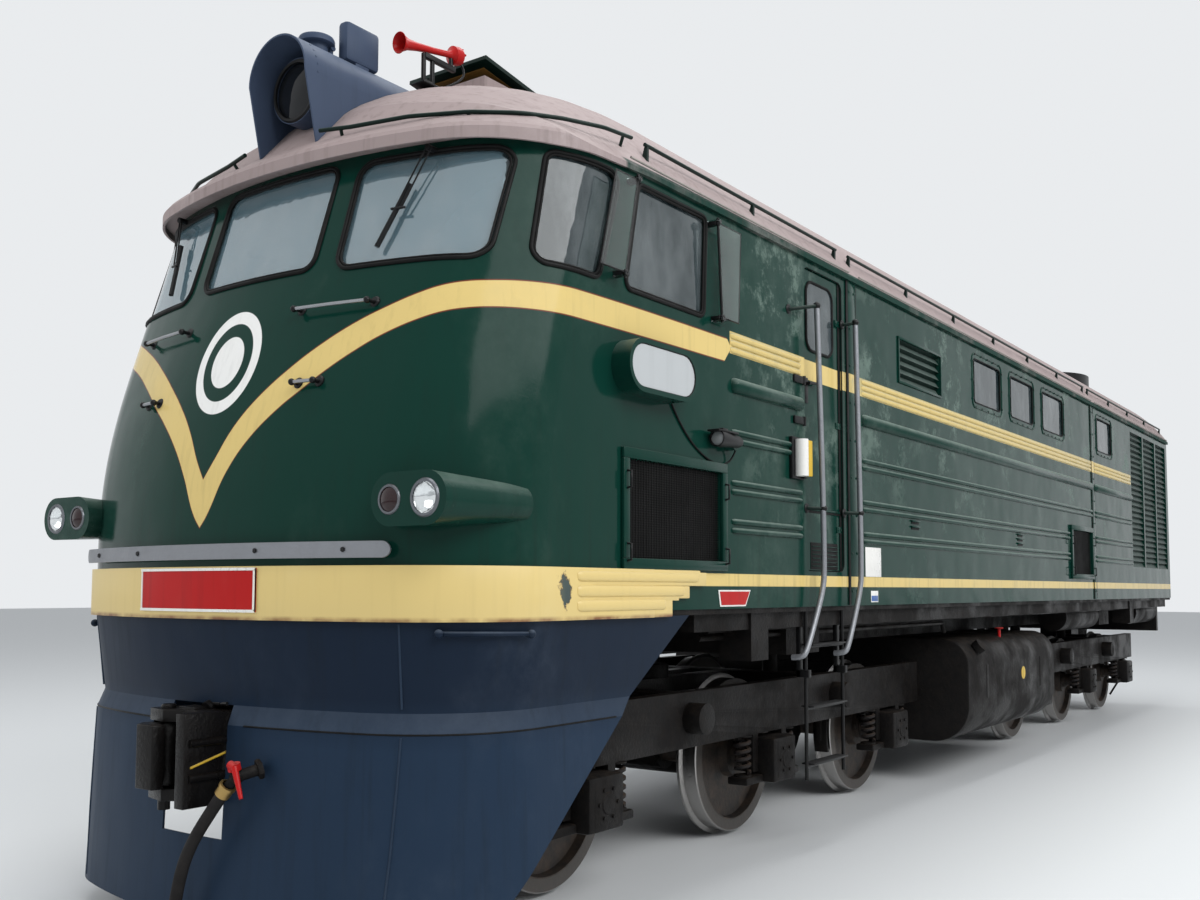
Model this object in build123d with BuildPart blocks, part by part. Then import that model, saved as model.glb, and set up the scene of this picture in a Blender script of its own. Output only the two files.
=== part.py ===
from build123d import *
from math import asin, atan2, cos, degrees, pi, radians, sin, sqrt, tan
import os

os.makedirs("parts", exist_ok=True)

# Frame: the nose faces -Y, +Z is up, Z = 0 is the rail top, X = 0 is the centre line.
# Sizes are millimetres.

# Main sizes
coupler_reach = 8342.5     # centre of the locomotive to each coupling face
body_half = 1540.0         # half width over the side panels
body_base = 1560.0         # underside of the side panels
eaves = 3855.0             # top of the side panels
roof_top = 4750.0
rear_y = 7700.0            # outside of the rear end wall
wall = 60.0                # skin, framing and lining together
seam_1 = -3885.0           # joint between cab section and engine room
seam_2 = 3080.0            # joint between engine room and radiator section
touch = 0.3                # gap between seated curved or soft faces
pin_gap = 0.2              # round a hinge pin or shaft
glass_t = 8.0

# Nose: front line at each height, all with the same front and corner radii
nose_front_r = 3800.0
nose_corner_r = 650.0
nose_levels = [
    {"z": body_base, "front": -8130.0},
    {"z": 1980.0, "front": -8128.0},
    {"z": 2300.0, "front": -8103.0},
    {"z": 2620.0, "front": -8040.0},
    {"z": 3224.0, "front": -7858.0},
    {"z": eaves, "front": -7662.0},
]

# Roof
roof_half = body_half + 25.0
roof_edge = 30.0           # depth of the upright roof edge
roof_t = 50.0
cab_roof_front = -7790.0
dome_start = -5900.0       # the crest runs level back from here and falls on an arc forward
dome_r = 2526.0
dome_steps = 10
roof_corner_r = 740.0
rim_low = 3820.0           # lip of the cab roof in front of the windows
rim_t = 14.0
soffit_t = 10.0
brow_half = 1575.0
brow_levels = [            # height, front line and corner radius of the rounded front
    {"z": 3780.0, "front": -7800.0, "corner": 745.0},
    {"z": 3870.0, "front": -7795.0, "corner": 750.0},
    {"z": 3905.0, "front": -7768.0, "corner": 780.0},
    {"z": 3940.0, "front": -7720.0, "corner": 840.0},
    {"z": 4000.0, "front": -7638.0, "corner": 950.0},
    {"z": 4100.0, "front": -7550.0, "corner": 1000.0},
    {"z": 4200.0, "front": -7462.0, "corner": 1050.0},
    {"z": 4300.0, "front": -7345.0, "corner": 1100.0},
    {"z": 4400.0, "front": -7180.0, "corner": 1150.0},
    {"z": 4500.0, "front": -6960.0, "corner": 1200.0},
    {"z": 4820.0, "front": -6160.0, "corner": 1250.0},
]

# Underframe
deck_t = 30.0
sill_in = 450.0
sill_out = 650.0
sill_base = 1240.0
pivot_y = 4300.0           # bogie pivots, each side of the centre
pad_y = 5200.0             # jacking pads
pad_x = 1390.0
pad_side = 220.0
draft_low = 690.0          # underside of the coupler pockets

# Wheels and bogies
wheel_r = 525.0
flange_h = 28.0
tyre_back = 676.5          # inner face of the tyre from the centre line
tyre_w = 140.0
axle_gap = 2100.0          # between neighbouring axles
axle_r = 95.0
journal_r = 75.0
frame_x = 1050.0           # centre of each bogie side frame
frame_t = 90.0
frame_top = 1040.0
frame_reach = 2780.0       # pivot to the end of the bogie frame
box_w = 330.0              # axle box along the track

# Couplers
coupler_z = 880.0
slot_half = 230.0
slot_base = 500.0
slot_top = 1120.0


def plan_points(front, half, front_r, corner_r):
    """Corner centre, tangent point and corner mid point of a nose outline."""
    centre_y = front + front_r - sqrt((front_r - corner_r) ** 2 - (half - corner_r) ** 2)
    tangent_x = front_r * (half - corner_r) / (front_r - corner_r)
    tangent_y = front + front_r - sqrt(front_r**2 - tangent_x**2)
    middle = (asin(tangent_x / front_r) + pi / 2) / 2
    mid_x = half - corner_r + corner_r * sin(middle)
    mid_y = centre_y - corner_r * cos(middle)
    return centre_y, (tangent_x, tangent_y), (mid_x, mid_y)


def nose_outline(front, half, back, inset=0.0, corner=nose_corner_r):
    """Closed nose plan: straight sides, two corner arcs and one front arc."""
    f, h = front + inset, half - inset
    centre_y, (tx, ty), (mx, my) = plan_points(f, h, nose_front_r - inset, corner - inset)
    with BuildLine() as outline:
        Line((h, back), (h, centre_y))
        ThreePointArc((h, centre_y), (mx, my), (tx, ty))
        ThreePointArc((tx, ty), (0, f), (-tx, ty))
        ThreePointArc((-tx, ty), (-mx, my), (-h, centre_y))
        Line((-h, centre_y), (-h, back))
        Line((-h, back), (h, back))
    make_face(outline.edges())


def nose_front_at(z):
    """Front line of the nose at height z, straight between the levels."""
    low = nose_levels[0]
    for high in nose_levels[1:]:
        if z <= high["z"]:
            share = (z - low["z"]) / (high["z"] - low["z"])
            return low["front"] + share * (high["front"] - low["front"])
        low = high
    return low["front"]


def nose_y(x, z, inset=0.0):
    """Y of the nose surface at a place across the front."""
    f = nose_front_at(z) + inset
    h, fr, cr = body_half - inset, nose_front_r - inset, nose_corner_r - inset
    centre_y, (tx, ty), _ = plan_points(f, h, fr, cr)
    if abs(x) <= tx:
        return f + fr - sqrt(fr**2 - x**2)
    return centre_y - sqrt(max(cr**2 - (abs(x) - h + cr) ** 2, 0))


def nose_solid(inset, back, low=None, high=None):
    """Solid nose and cab body, shrunk by inset, from the level low to the level high."""
    levels = [dict(level) for level in nose_levels]
    if low is not None:
        levels[0]["z"] = low
    if high is not None:
        levels[-1]["z"] = high
    with BuildPart() as solid:
        for level in levels:
            with BuildSketch(Plane.XY.offset(level["z"])):
                nose_outline(level["front"], body_half, back, inset)
        loft()
    return solid.part


def arc_y(half, edge_z, top_z, x):
    """Height of the roof arc at x."""
    rise = top_z - edge_z
    r = (half**2 + rise**2) / (2 * rise)
    return top_z - r + sqrt(r**2 - x**2)


def brow_solid(inset=0.0):
    """Rounded front of the cab roof: plans that step back as they rise, shrunk by inset."""
    with BuildPart() as solid:
        for level in brow_levels:
            with BuildSketch(Plane.XY.offset(level["z"] - inset)):
                nose_outline(level["front"], brow_half, seam_1 + 30, inset, level["corner"])
        loft(ruled=True)
    return solid.part


def dome_solid(inset=0.0):
    """Cab roof without its edge trim, shrunk by inset."""
    base = eaves - 15
    rise = roof_top - eaves - roof_edge
    section_r = (roof_half**2 + rise**2) / (2 * rise)
    half = sqrt(section_r**2 - (section_r - roof_top + base) ** 2)
    full_turn = asin((dome_start - cab_roof_front + 30) / dome_r)
    with BuildPart() as solid:
        for step in range(dome_steps + 1):
            turn = full_turn * step / dome_steps
            y = dome_start - dome_r * sin(turn) + inset * sin(turn)
            crest = roof_top - dome_r * (1 - cos(turn)) - inset
            with BuildSketch(Plane.XZ.offset(-y)):
                with BuildLine():
                    ThreePointArc((-half + inset, base), (0, max(crest, base + 5)), (half - inset, base))
                    Line((half - inset, base), (-half + inset, base))
                make_face()
        loft(ruled=True)
        with BuildSketch(Plane.XZ.offset(-dome_start)):
            with BuildLine():
                ThreePointArc((-half + inset, base), (0, roof_top - inset), (half - inset, base))
                Line((half - inset, base), (-half + inset, base))
            make_face()
        extrude(amount=-(seam_1 - dome_start))
        add(brow_solid(inset), mode=Mode.INTERSECT)
    return solid.part


def save(piece, label):
    """Name a finished piece and write it."""
    piece.label = label
    export_step(piece, f"parts/{label}.step")


def tube(points, radii, r):
    """Round bar or pipe along a bent path."""
    with BuildPart() as bar:
        with BuildLine() as path:
            if len(points) > 2:
                FilletPolyline(*points, radius=radii)
            else:
                Line(*points)
        with BuildSketch(Plane(origin=path.line @ 0, z_dir=path.line % 0)):
            Circle(r)
        sweep()
    return bar.part


def side_pair(piece):
    """A piece and its mirror image across the centre line."""
    return [piece, mirror(piece, about=Plane.YZ)]


def window_quad(low, high, y_low, y_high, corner):
    """Window outline with level top and bottom: y_low and y_high are its ends at each height."""
    points = [(y_low[0], low), (y_low[1], low), (y_high[1], high), (y_high[0], high)]
    with BuildLine() as outline:
        if corner:
            FilletPolyline(*points, radius=corner, close=True)
        else:
            Polyline(*points, close=True)
    make_face(outline.edges())


# Windows of the cab: outer edges of the glass openings
front_pane = {"x": 430.0, "low": 3245.0, "high": 3805.0, "corner": 70.0}
quarter_pane = {"in_low": 590.0, "out_low": 1335.0, "in_high": 575.0, "out_high": 1350.0}
quarter_z = {"low": 3225.0, "high": 3795.0, "corner": 80.0}
corner_pane = {"front_low": -7390.0, "back_low": -6955.0, "front_high": -7245.0, "back_high": -6780.0}
cab_window = {"front_low": -6715.0, "back_low": -5935.0, "front_high": -6590.0, "back_high": -5905.0}
side_z = {"low": 3225.0, "high": 3795.0}
pane_gap = touch           # glass edge to opening
glass_set = 14.0           # glass behind the outside of the wall

# Door, windows and openings of the straight sides, as places along Y and heights
door = {"front": -4630.0, "back": -4030.0, "low": 1790.0, "high": 3810.0, "corner": 60.0}
body_windows = [
    {"front": -1200.0, "back": -430.0},
    {"front": -110.0, "back": 650.0},
    {"front": 1000.0, "back": 1800.0},
    {"front": 3340.0, "back": 4070.0},
]
body_window_z = {"low": 3340.0, "high": 3750.0}
louvre_hole = {"front": -2980.0, "back": -2070.0, "low": 3280.0, "high": 3610.0}
mesh_hole = {"front": -6700.0, "back": -5750.0, "low": 1830.0, "high": 2340.0}
rear_mesh_hole = {"front": 2050.0, "back": 2930.0, "low": 1850.0, "high": 2340.0}
shutter_bays = [
    {"front": 5190.0, "back": 5950.0},
    {"front": 6010.0, "back": 6790.0},
    {"front": 6850.0, "back": 7560.0},
]
shutter_z = {"low": 1980.0, "high": 3780.0}
rear_door = {"half": 330.0, "low": 1620.0, "high": 3500.0}
door_pane = {"front": -4540.0, "back": -4190.0, "low": 3290.0, "high": 3650.0}
door_gap = 8.0
door_t = 45.0
door_set = 18.0            # side door behind the outside of the wall
barrel = {"r": 12.0, "h": 90.0, "pin_r": 6.0, "lug_h": 24.0}
side_hinge = {"x": body_half - wall - barrel["r"] - 3, "y": door["back"], "places": [2080.0, 2800.0, 3520.0]}
rear_hinge = {"x": rear_door["half"], "y": rear_y - wall - barrel["r"], "places": [1900.0, 2560.0, 3220.0]}


def hinge_lugs(x, y, places, arm_x, arm_y):
    """Lugs above and below each hinge barrel, their pin, and arms to the wall."""
    for z in places:
        with Locations((x, y, z)):
            Cylinder(barrel["pin_r"], barrel["h"] + 10)
        for end in (1, -1):
            lug_z = z + end * (barrel["h"] / 2 + touch + barrel["lug_h"] / 2)
            with Locations((x, y, lug_z)):
                Cylinder(barrel["r"], barrel["lug_h"])
            with Locations((x + arm_x / 2, y + arm_y / 2, lug_z)):
                Box(max(abs(arm_x), 10), max(abs(arm_y), 10), barrel["lug_h"])


def side_hole(hole, low, high, corner):
    """Cut one rounded opening through both side walls."""
    with BuildSketch(Plane.YZ) as opening:
        window_quad(low, high, (hole["front"], hole["back"]), (hole["front"], hole["back"]), corner)
    extrude(opening.sketch, amount=body_half + 200, both=True, mode=Mode.SUBTRACT)


def quad_hole(quad, heights, corner, amount, mode=Mode.SUBTRACT, shrink=0.0):
    """Slanted window outline on the YZ plane, extruded both ways."""
    with BuildSketch(Plane.YZ) as opening:
        window_quad(
            heights["low"] + shrink,
            heights["high"] - shrink,
            (quad["front_low"] + shrink, quad["back_low"] - shrink),
            (quad["front_high"] + shrink, quad["back_high"] - shrink),
            corner,
        )
    extrude(opening.sketch, amount=amount, both=True, mode=mode)


def front_holes(mode=Mode.SUBTRACT, shrink=0.0):
    """The three panes that look forward, cut along Y."""
    with BuildSketch(Plane.XZ.offset(7300)) as openings:
        low, high = front_pane["low"] + shrink, front_pane["high"] - shrink
        half = front_pane["x"] - shrink
        window_quad(low, high, (-half, half), (-half, half), front_pane["corner"])
        for side in (1, -1):
            inner = (quarter_pane["in_low"] + shrink, quarter_pane["in_high"] + shrink)
            outer = (quarter_pane["out_low"] - shrink, quarter_pane["out_high"] - shrink)
            window_quad(
                quarter_z["low"] + shrink,
                quarter_z["high"] - shrink,
                (side * inner[0], side * outer[0]),
                (side * inner[1], side * outer[1]),
                quarter_z["corner"],
            )
    extrude(openings.sketch, amount=900, mode=mode)


# Cab body with its nose
with BuildPart() as cab_shell:
    add(nose_solid(0, seam_1))
    add(nose_solid(wall, seam_1 + 10, body_base - 5, eaves + 5), mode=Mode.SUBTRACT)
    front_holes()
    quad_hole(corner_pane, quarter_z, 60, body_half + 200)
    quad_hole(cab_window, side_z, 40, body_half + 200)
    side_hole(door, door["low"], door["high"], door["corner"])
    side_hole(mesh_hole, mesh_hole["low"], mesh_hole["high"], 0)
    for side in (1, -1):
        reach = body_half - wall + 5 - side_hinge["x"]
        hinge_lugs(side * side_hinge["x"], side_hinge["y"], side_hinge["places"], side * reach, 40)
save(cab_shell.part, "cab_shell")

# Curved glass of the five front panes
with BuildPart() as windscreens:
    front_holes(Mode.ADD, pane_gap)
    quad_hole(corner_pane, quarter_z, 60, body_half + 200, Mode.ADD, pane_gap)
    add(nose_solid(glass_set, seam_1), mode=Mode.INTERSECT)
    add(nose_solid(glass_set + glass_t, seam_1 + 10, body_base - 5, eaves + 5), mode=Mode.SUBTRACT)
save(windscreens.part, "windscreens")

# Flat glass of the cab sides and the engine room
with BuildPart() as side_windows:
    quad_hole(cab_window, side_z, 40, body_half - glass_set, Mode.ADD, pane_gap)
    for hole in body_windows:
        with BuildSketch(Plane.YZ):
            window_quad(
                body_window_z["low"] + pane_gap,
                body_window_z["high"] - pane_gap,
                (hole["front"] + pane_gap, hole["back"] - pane_gap),
                (hole["front"] + pane_gap, hole["back"] - pane_gap),
                50,
            )
        extrude(amount=body_half - glass_set, both=True)
    Box(2 * (body_half - glass_set - glass_t), 20000, 10000, mode=Mode.SUBTRACT)
save(side_windows.part, "side_windows")


def wall_strip(front, back, x=body_half - wall / 2):
    """Both side walls between two places along Y."""
    for side in (1, -1):
        with Locations((side * x, (front + back) / 2, (body_base + eaves) / 2)):
            Box(wall, back - front, eaves - body_base)


with BuildPart() as engine_room_walls:
    wall_strip(seam_1, seam_2)
    for hole in body_windows[:3]:
        side_hole(hole, body_window_z["low"], body_window_z["high"], 50)
    side_hole(louvre_hole, louvre_hole["low"], louvre_hole["high"], 0)
    side_hole(rear_mesh_hole, rear_mesh_hole["low"], rear_mesh_hole["high"], 0)
save(engine_room_walls.part, "engine_room_walls")

with BuildPart() as radiator_walls:
    wall_strip(seam_2, rear_y)
    with BuildSketch(Plane.XZ.offset(-rear_y)):
        with BuildLine():
            inner_half = roof_half - roof_t - 10
            Polyline((-body_half, eaves), (-body_half, body_base), (body_half, body_base), (body_half, eaves))
            Line((body_half, eaves), (inner_half, eaves))
            ThreePointArc((inner_half, eaves), (0, roof_top - roof_t - touch), (-inner_half, eaves))
            Line((-inner_half, eaves), (-body_half, eaves))
        make_face()
    extrude(amount=wall)
    side_hole(body_windows[3], body_window_z["low"], body_window_z["high"], 50)
    for bay in shutter_bays:
        side_hole(bay, shutter_z["low"], shutter_z["high"], 0)
    with Locations((0, rear_y, (rear_door["low"] + rear_door["high"]) / 2)):
        Box(2 * rear_door["half"], 4 * wall, rear_door["high"] - rear_door["low"], mode=Mode.SUBTRACT)
    hinge_lugs(rear_hinge["x"], rear_hinge["y"], rear_hinge["places"], 40, barrel["r"] + 5)
save(radiator_walls.part, "radiator_walls")

# Roofs
hatch_half, hatch_front, hatch_back = 290.0, -6400.0, -5900.0
coaming_top, coaming_low = roof_top + 32.0, 4625.0
hatch_hinge = {"y": hatch_back + 45.0, "z": roof_top + 55.0, "r": 11.0}
with BuildPart() as cab_roof:
    with BuildSketch(Plane.XY.offset(eaves)):
        nose_outline(cab_roof_front, roof_half, seam_1, 0, roof_corner_r)
    extrude(amount=roof_top - eaves + 50)
    add(dome_solid(), mode=Mode.INTERSECT)
    add(dome_solid(roof_t), mode=Mode.SUBTRACT)
    with BuildSketch(Plane.XY.offset(eaves)) as soffit:
        nose_outline(cab_roof_front, roof_half, dome_start, 5, roof_corner_r)
    with BuildSketch(Plane.XY.offset(eaves)) as cab_ceiling:
        nose_outline(nose_front_at(eaves), body_half, dome_start + 20, wall)
    with BuildPart(mode=Mode.PRIVATE) as ledge:
        extrude(soffit.sketch, amount=soffit_t)
        extrude(cab_ceiling.sketch, amount=soffit_t, mode=Mode.SUBTRACT)
    with BuildPart(mode=Mode.PRIVATE) as lip:
        with BuildSketch(Plane.XY.offset(rim_low)):
            nose_outline(cab_roof_front, roof_half, dome_start, 0, roof_corner_r)
        extrude(amount=eaves - rim_low + 5)
        with BuildSketch(Plane.XY.offset(rim_low - 1)):
            nose_outline(cab_roof_front, roof_half, dome_start + 20, rim_t, roof_corner_r)
        extrude(amount=eaves - rim_low + 10, mode=Mode.SUBTRACT)
        with BuildSketch(Plane.YZ):
            Polygon(
                (-7300, rim_low - 2),
                (-6500, eaves + 1),
                (dome_start + 50, eaves + 1),
                (dome_start + 50, rim_low - 20),
                (-7300, rim_low - 20),
                align=None,
            )
        extrude(amount=2000, both=True, mode=Mode.SUBTRACT)
    add(ledge.part)
    add(lip.part)
    with Locations((0, (hatch_front + hatch_back) / 2, (coaming_top + coaming_low) / 2)):
        Box(2 * hatch_half, hatch_back - hatch_front, coaming_top - coaming_low)
        Box(2 * hatch_half - 50, hatch_back - hatch_front - 50, 600, mode=Mode.SUBTRACT)
    for side in (1, -1):
        with Locations((side * 172, hatch_hinge["y"], hatch_hinge["z"] - 35)):
            Box(26, 34, 100)
        with Locations((side * 172, hatch_hinge["y"], hatch_hinge["z"])):
            Cylinder(hatch_hinge["r"] + pin_gap, 60, rotation=(0, 90, 0), mode=Mode.SUBTRACT)


def roof_section(inset=0.0):
    """Cross-section of the straight roof, shrunk by inset."""
    half, edge = roof_half - inset, eaves + roof_edge
    with BuildLine() as outline:
        Line((-half, eaves), (-half, edge))
        ThreePointArc((-half, edge), (0, roof_top - inset), (half, edge))
        Line((half, edge), (half, eaves))
        Line((half, eaves), (-half, eaves))
    make_face(outline.edges())


def roof_length(front, back):
    """Straight roof shell between two places along Y."""
    with BuildPart() as shell:
        with BuildSketch(Plane.XZ.offset(-front)):
            roof_section()
        extrude(amount=-(back - front))
        with BuildSketch(Plane.XZ.offset(-front)):
            roof_section(roof_t)
        extrude(amount=-(back - front), mode=Mode.SUBTRACT)
    return shell.part


fan = {"y": 6370.0, "r": 700.0, "hub_r": 150.0, "blades": 8, "z": 4430.0, "gap": 20.0}
stack = {"y": 1500.0, "length": 580.0, "width": 260.0, "height": 120.0, "t": 10.0}
covers = {"half": 430.0, "h": 34.0, "places": [(-3600.0, -2700.0), (-2500.0, -1500.0), (-1300.0, -300.0)]}

with BuildPart() as engine_roof:
    add(roof_length(seam_1, seam_2))
    with Locations((0, stack["y"], roof_top)):
        Box(stack["width"], stack["length"], 400, mode=Mode.SUBTRACT)
    for front, back in covers["places"]:
        with Locations((0, (front + back) / 2, roof_top - covers["h"] / 2)):
            Box(2 * covers["half"], back - front, 3 * covers["h"])
    with BuildSketch(Plane.XZ.offset(-seam_1)):
        roof_section(roof_t)
    extrude(amount=-(seam_2 - seam_1), mode=Mode.SUBTRACT)

with BuildPart() as radiator_roof:
    add(roof_length(seam_2, rear_y))
    with Locations((0, fan["y"], roof_top)):
        Cylinder(fan["r"] + fan["gap"] + 30, 700, mode=Mode.SUBTRACT)

save(cab_roof.part, "cab_roof")
save(engine_roof.part, "engine_roof")
save(radiator_roof.part, "radiator_roof")

# Raised strips over the two section joints
strip_t = 7.0
strips = [{"y": seam_1, "w": 170.0}, {"y": seam_2, "w": 120.0}]
with BuildPart() as joint_strips:
    for strip in strips:
        for side in (1, -1):
            with Locations((side * (body_half + strip_t / 2), strip["y"], (body_base + eaves) / 2)):
                Box(strip_t, strip["w"], eaves - body_base - 10)
        with BuildSketch(Plane.XZ.offset(-strip["y"] + strip["w"] / 2)) as ring:
            roof_section(-strip_t)
            with BuildLine():
                Line((-roof_half, eaves), (-roof_half, eaves + roof_edge))
                ThreePointArc(
                    (-roof_half, eaves + roof_edge), (0, roof_top + touch), (roof_half, eaves + roof_edge)
                )
                Line((roof_half, eaves + roof_edge), (roof_half, eaves))
                Line((roof_half, eaves), (-roof_half, eaves))
            make_face(mode=Mode.SUBTRACT)
        extrude(ring.sketch, amount=-strip["w"])

# Side beads: z, height and the spans along Y
bead_out = 14.0
bead_spans = {
    "cab": (-5600.0, -4690.0),
    "middle": (-3680.0, 3000.0),
    "middle_low": (-3680.0, 1960.0),
    "rear": (3160.0, 5130.0),
    "stripe_cab": (-5620.0, -4690.0),
}
beads = [
    {"z": 2970.0, "h": 66.0, "spans": ["cab"]},
    {"z": 2915.0, "h": 66.0, "spans": ["middle", "rear"]},
]
for level in (2607.0, 2297.0, 2068.0):
    middle = "middle_low" if level < 2400 else "middle"
    for shift in (-20.0, 20.0):
        beads.append({"z": level + shift, "h": 30.0, "spans": ["cab", middle, "rear"]})
for level in (3082.0, 3125.0, 3168.0):
    beads.append({"z": level, "h": 38.0, "spans": ["stripe_cab", "middle", "rear"]})


def bead(z, h, front, back):
    """Half-round bead on the right side wall."""
    with BuildPart() as bar:
        with BuildSketch(Plane.XZ.offset(-front)):
            with BuildLine():
                ThreePointArc(
                    (body_half, z - h / 2), (body_half + bead_out, z), (body_half, z + h / 2)
                )
                Line((body_half, z + h / 2), (body_half, z - h / 2))
            make_face()
        extrude(amount=-(back - front))
    return bar.part


with BuildPart() as side_beads:
    for row in beads:
        for name in row["spans"]:
            add(side_pair(bead(row["z"], row["h"], *bead_spans[name])))
    add(joint_strips.part)
save(side_beads.part, "side_beads")

# Apron band round the nose with its ribs
band_low, band_high, band_out, band_back = 1525.0, 1775.0, 26.0, -6480.0
band_front = nose_levels[0]["front"]
rib_rows = [
    {"z": 1727.0, "h": 72.0, "front": -7000.0, "back": -5950.0},
    {"z": 1648.0, "h": 72.0, "front": -7000.0, "back": -6240.0},
    {"z": 1568.0, "h": 72.0, "front": -7000.0, "back": band_back},
]
with BuildPart() as nose_band:
    with BuildSketch(Plane.XY.offset(band_low)):
        nose_outline(band_front, body_half, band_back, -band_out)
    extrude(amount=band_high - band_low)
    with BuildSketch(Plane.XY.offset(band_low - 1)):
        nose_outline(band_front, body_half, band_back + 80, -touch)
    extrude(amount=band_high - band_low + 2, mode=Mode.SUBTRACT)
    for row in rib_rows:
        for side in (1, -1):
            with Locations((side * (body_half + band_out / 2 + touch), (row["front"] + row["back"]) / 2, row["z"])):
                Box(band_out, row["back"] - row["front"], row["h"])
save(nose_band.part, "nose_band")

# Plate on the band
plate = {"half": 442.0, "low": 1562.0, "high": 1766.0, "t": 10.0}
with BuildPart() as front_plate:
    with BuildSketch(Plane.XY.offset(plate["low"])):
        nose_outline(band_front, body_half, band_back, -band_out - plate["t"])
    extrude(amount=plate["high"] - plate["low"])
    with BuildSketch(Plane.XY.offset(plate["low"] - 1)):
        nose_outline(band_front, body_half, band_back + 80, -band_out - touch)
    extrude(amount=plate["high"] - plate["low"] + 2, mode=Mode.SUBTRACT)
    with Locations((0, band_front, (plate["low"] + plate["high"]) / 2)):
        Box(2 * plate["half"], 600, 400, mode=Mode.INTERSECT)
save(front_plate.part, "front_plate")

# Skirt below the band
skirt_t = 12.0
skirt_low = 105.0
skirt_levels = [
    {"z": skirt_low, "front": -8153.0, "half": 1518.0},
    {"z": 1030.0, "front": -8118.0, "half": 1490.0},
    {"z": slot_top, "front": -8085.0, "half": 1465.0},
    {"z": body_base - deck_t - touch, "front": -8128.0, "half": 1535.0},
]
skirt_back_top, skirt_back_low = -6080.0, -7745.0


def skirt_solid(inset, back):
    """Solid skirt, shrunk by inset."""
    with BuildPart() as solid:
        for level in skirt_levels:
            with BuildSketch(Plane.XY.offset(level["z"])):
                nose_outline(level["front"], level["half"], back, inset)
        loft(ruled=True)
    return solid.part


with BuildPart() as front_skirt:
    add(skirt_solid(0, -5900))
    add(skirt_solid(skirt_t, -5800), mode=Mode.SUBTRACT)
    with Locations((0, -8100, (slot_base + slot_top) / 2)):
        Box(2 * slot_half, 600, slot_top - slot_base, mode=Mode.SUBTRACT)
    with BuildSketch(Plane.YZ):
        Polygon(
            (skirt_back_top, band_low + 10),
            (skirt_back_low, skirt_low - 5),
            (-5000, skirt_low - 5),
            (-5000, band_low + 10),
            align=None,
        )
    extrude(amount=2000, both=True, mode=Mode.SUBTRACT)
save(front_skirt.part, "front_skirt")

# Underframe
draft = {"half_x": 130.0, "h": 200.0}
bowl_r, bowl_pin_r = 230.0, 150.0
with BuildPart() as underframe:
    with BuildSketch(Plane.XY.offset(body_base - deck_t)):
        nose_outline(band_front, body_half, rear_y, 12)
    extrude(amount=deck_t - touch)
    beam_h = body_base - deck_t - sill_base
    beam_z = (body_base - deck_t + sill_base) / 2
    for side in (1, -1):
        with Locations((side * (sill_in + sill_out) / 2, -150, beam_z)):
            Box(sill_out - sill_in, 15500, beam_h)
        with Locations((side * 1440, 800, body_base - deck_t - 50)):
            Box(90, 13500, 100)
        for end in (1, -1):
            with Locations((side * pad_x, end * pad_y, (sill_base + body_base - deck_t) / 2)):
                Box(pad_side, pad_side, body_base - deck_t - sill_base)
    for end in (1, -1):
        with Locations((0, end * pivot_y, beam_z)):
            Box(2700, 500, beam_h)
        with Locations((0, end * pad_y, beam_z + 20)):
            Box(2700, 160, beam_h - 40)
    draft_z = (body_base - deck_t + draft_low) / 2
    draft_h = body_base - deck_t - draft_low
    with Locations((0, -7660, draft_z)):
        Box(460, 520, draft_h)
    with Locations((0, 7400, draft_z)):
        Box(460, 400, draft_h)
    with Locations((0, rear_y - 60, 1300)):
        Box(2700, 100, 460)
    with Locations((0, -7660, coupler_z), (0, 7400, coupler_z)):
        Box(2 * draft["half_x"], 700, draft["h"], mode=Mode.SUBTRACT)
    for end in (1, -1):
        with Locations((0, end * pivot_y, sill_base - 90)):
            Cylinder(bowl_pin_r, 180)
save(underframe.part, "underframe")

# Couplers: shank, head with guard arm and two lugs; the knuckle turns between the lugs
knuckle_x, knuckle_y = -125.0, -8185.0
knuckle_r = 70.0
knuckle_h, head_h = 300.0, 430.0
pin_r = 20.0
move_gap = 6.0


def coupler_head():
    """Front coupler without its knuckle."""
    with BuildPart() as head:
        with Locations((0, -7780, coupler_z)):
            Box(150, 700, 180)
        with Locations((0, -7530, coupler_z)):
            Box(draft["half_x"] * 2 - 2 * touch, 200, draft["h"] - 2 * touch)
        with BuildSketch(Plane.XY.offset(coupler_z - head_h / 2)):
            with BuildLine():
                Polyline(
                    (-90, -7990),
                    (-215, -8105),
                    (-215, knuckle_y - 40),
                    (-60, knuckle_y - 75),
                    (10, -8190),
                    (110, -8190),
                    (150, -8335),
                    (215, -8335),
                    (215, -8060),
                    (90, -7990),
                    close=True,
                )
            make_face()
        extrude(amount=head_h)
        with Locations((knuckle_x, knuckle_y, coupler_z)):
            Cylinder(knuckle_r + 46, knuckle_h + 2 * move_gap, mode=Mode.SUBTRACT)
        with Locations((knuckle_x - 20, knuckle_y - 60, coupler_z)):
            Box(260, 120, knuckle_h + 2 * move_gap, mode=Mode.SUBTRACT)
        with Locations((knuckle_x, knuckle_y, coupler_z)):
            Cylinder(pin_r, head_h)
        with Locations((0, -8130, coupler_z + head_h / 2 + 6)):
            Box(120, 90, 12)
    return head.part


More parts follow.
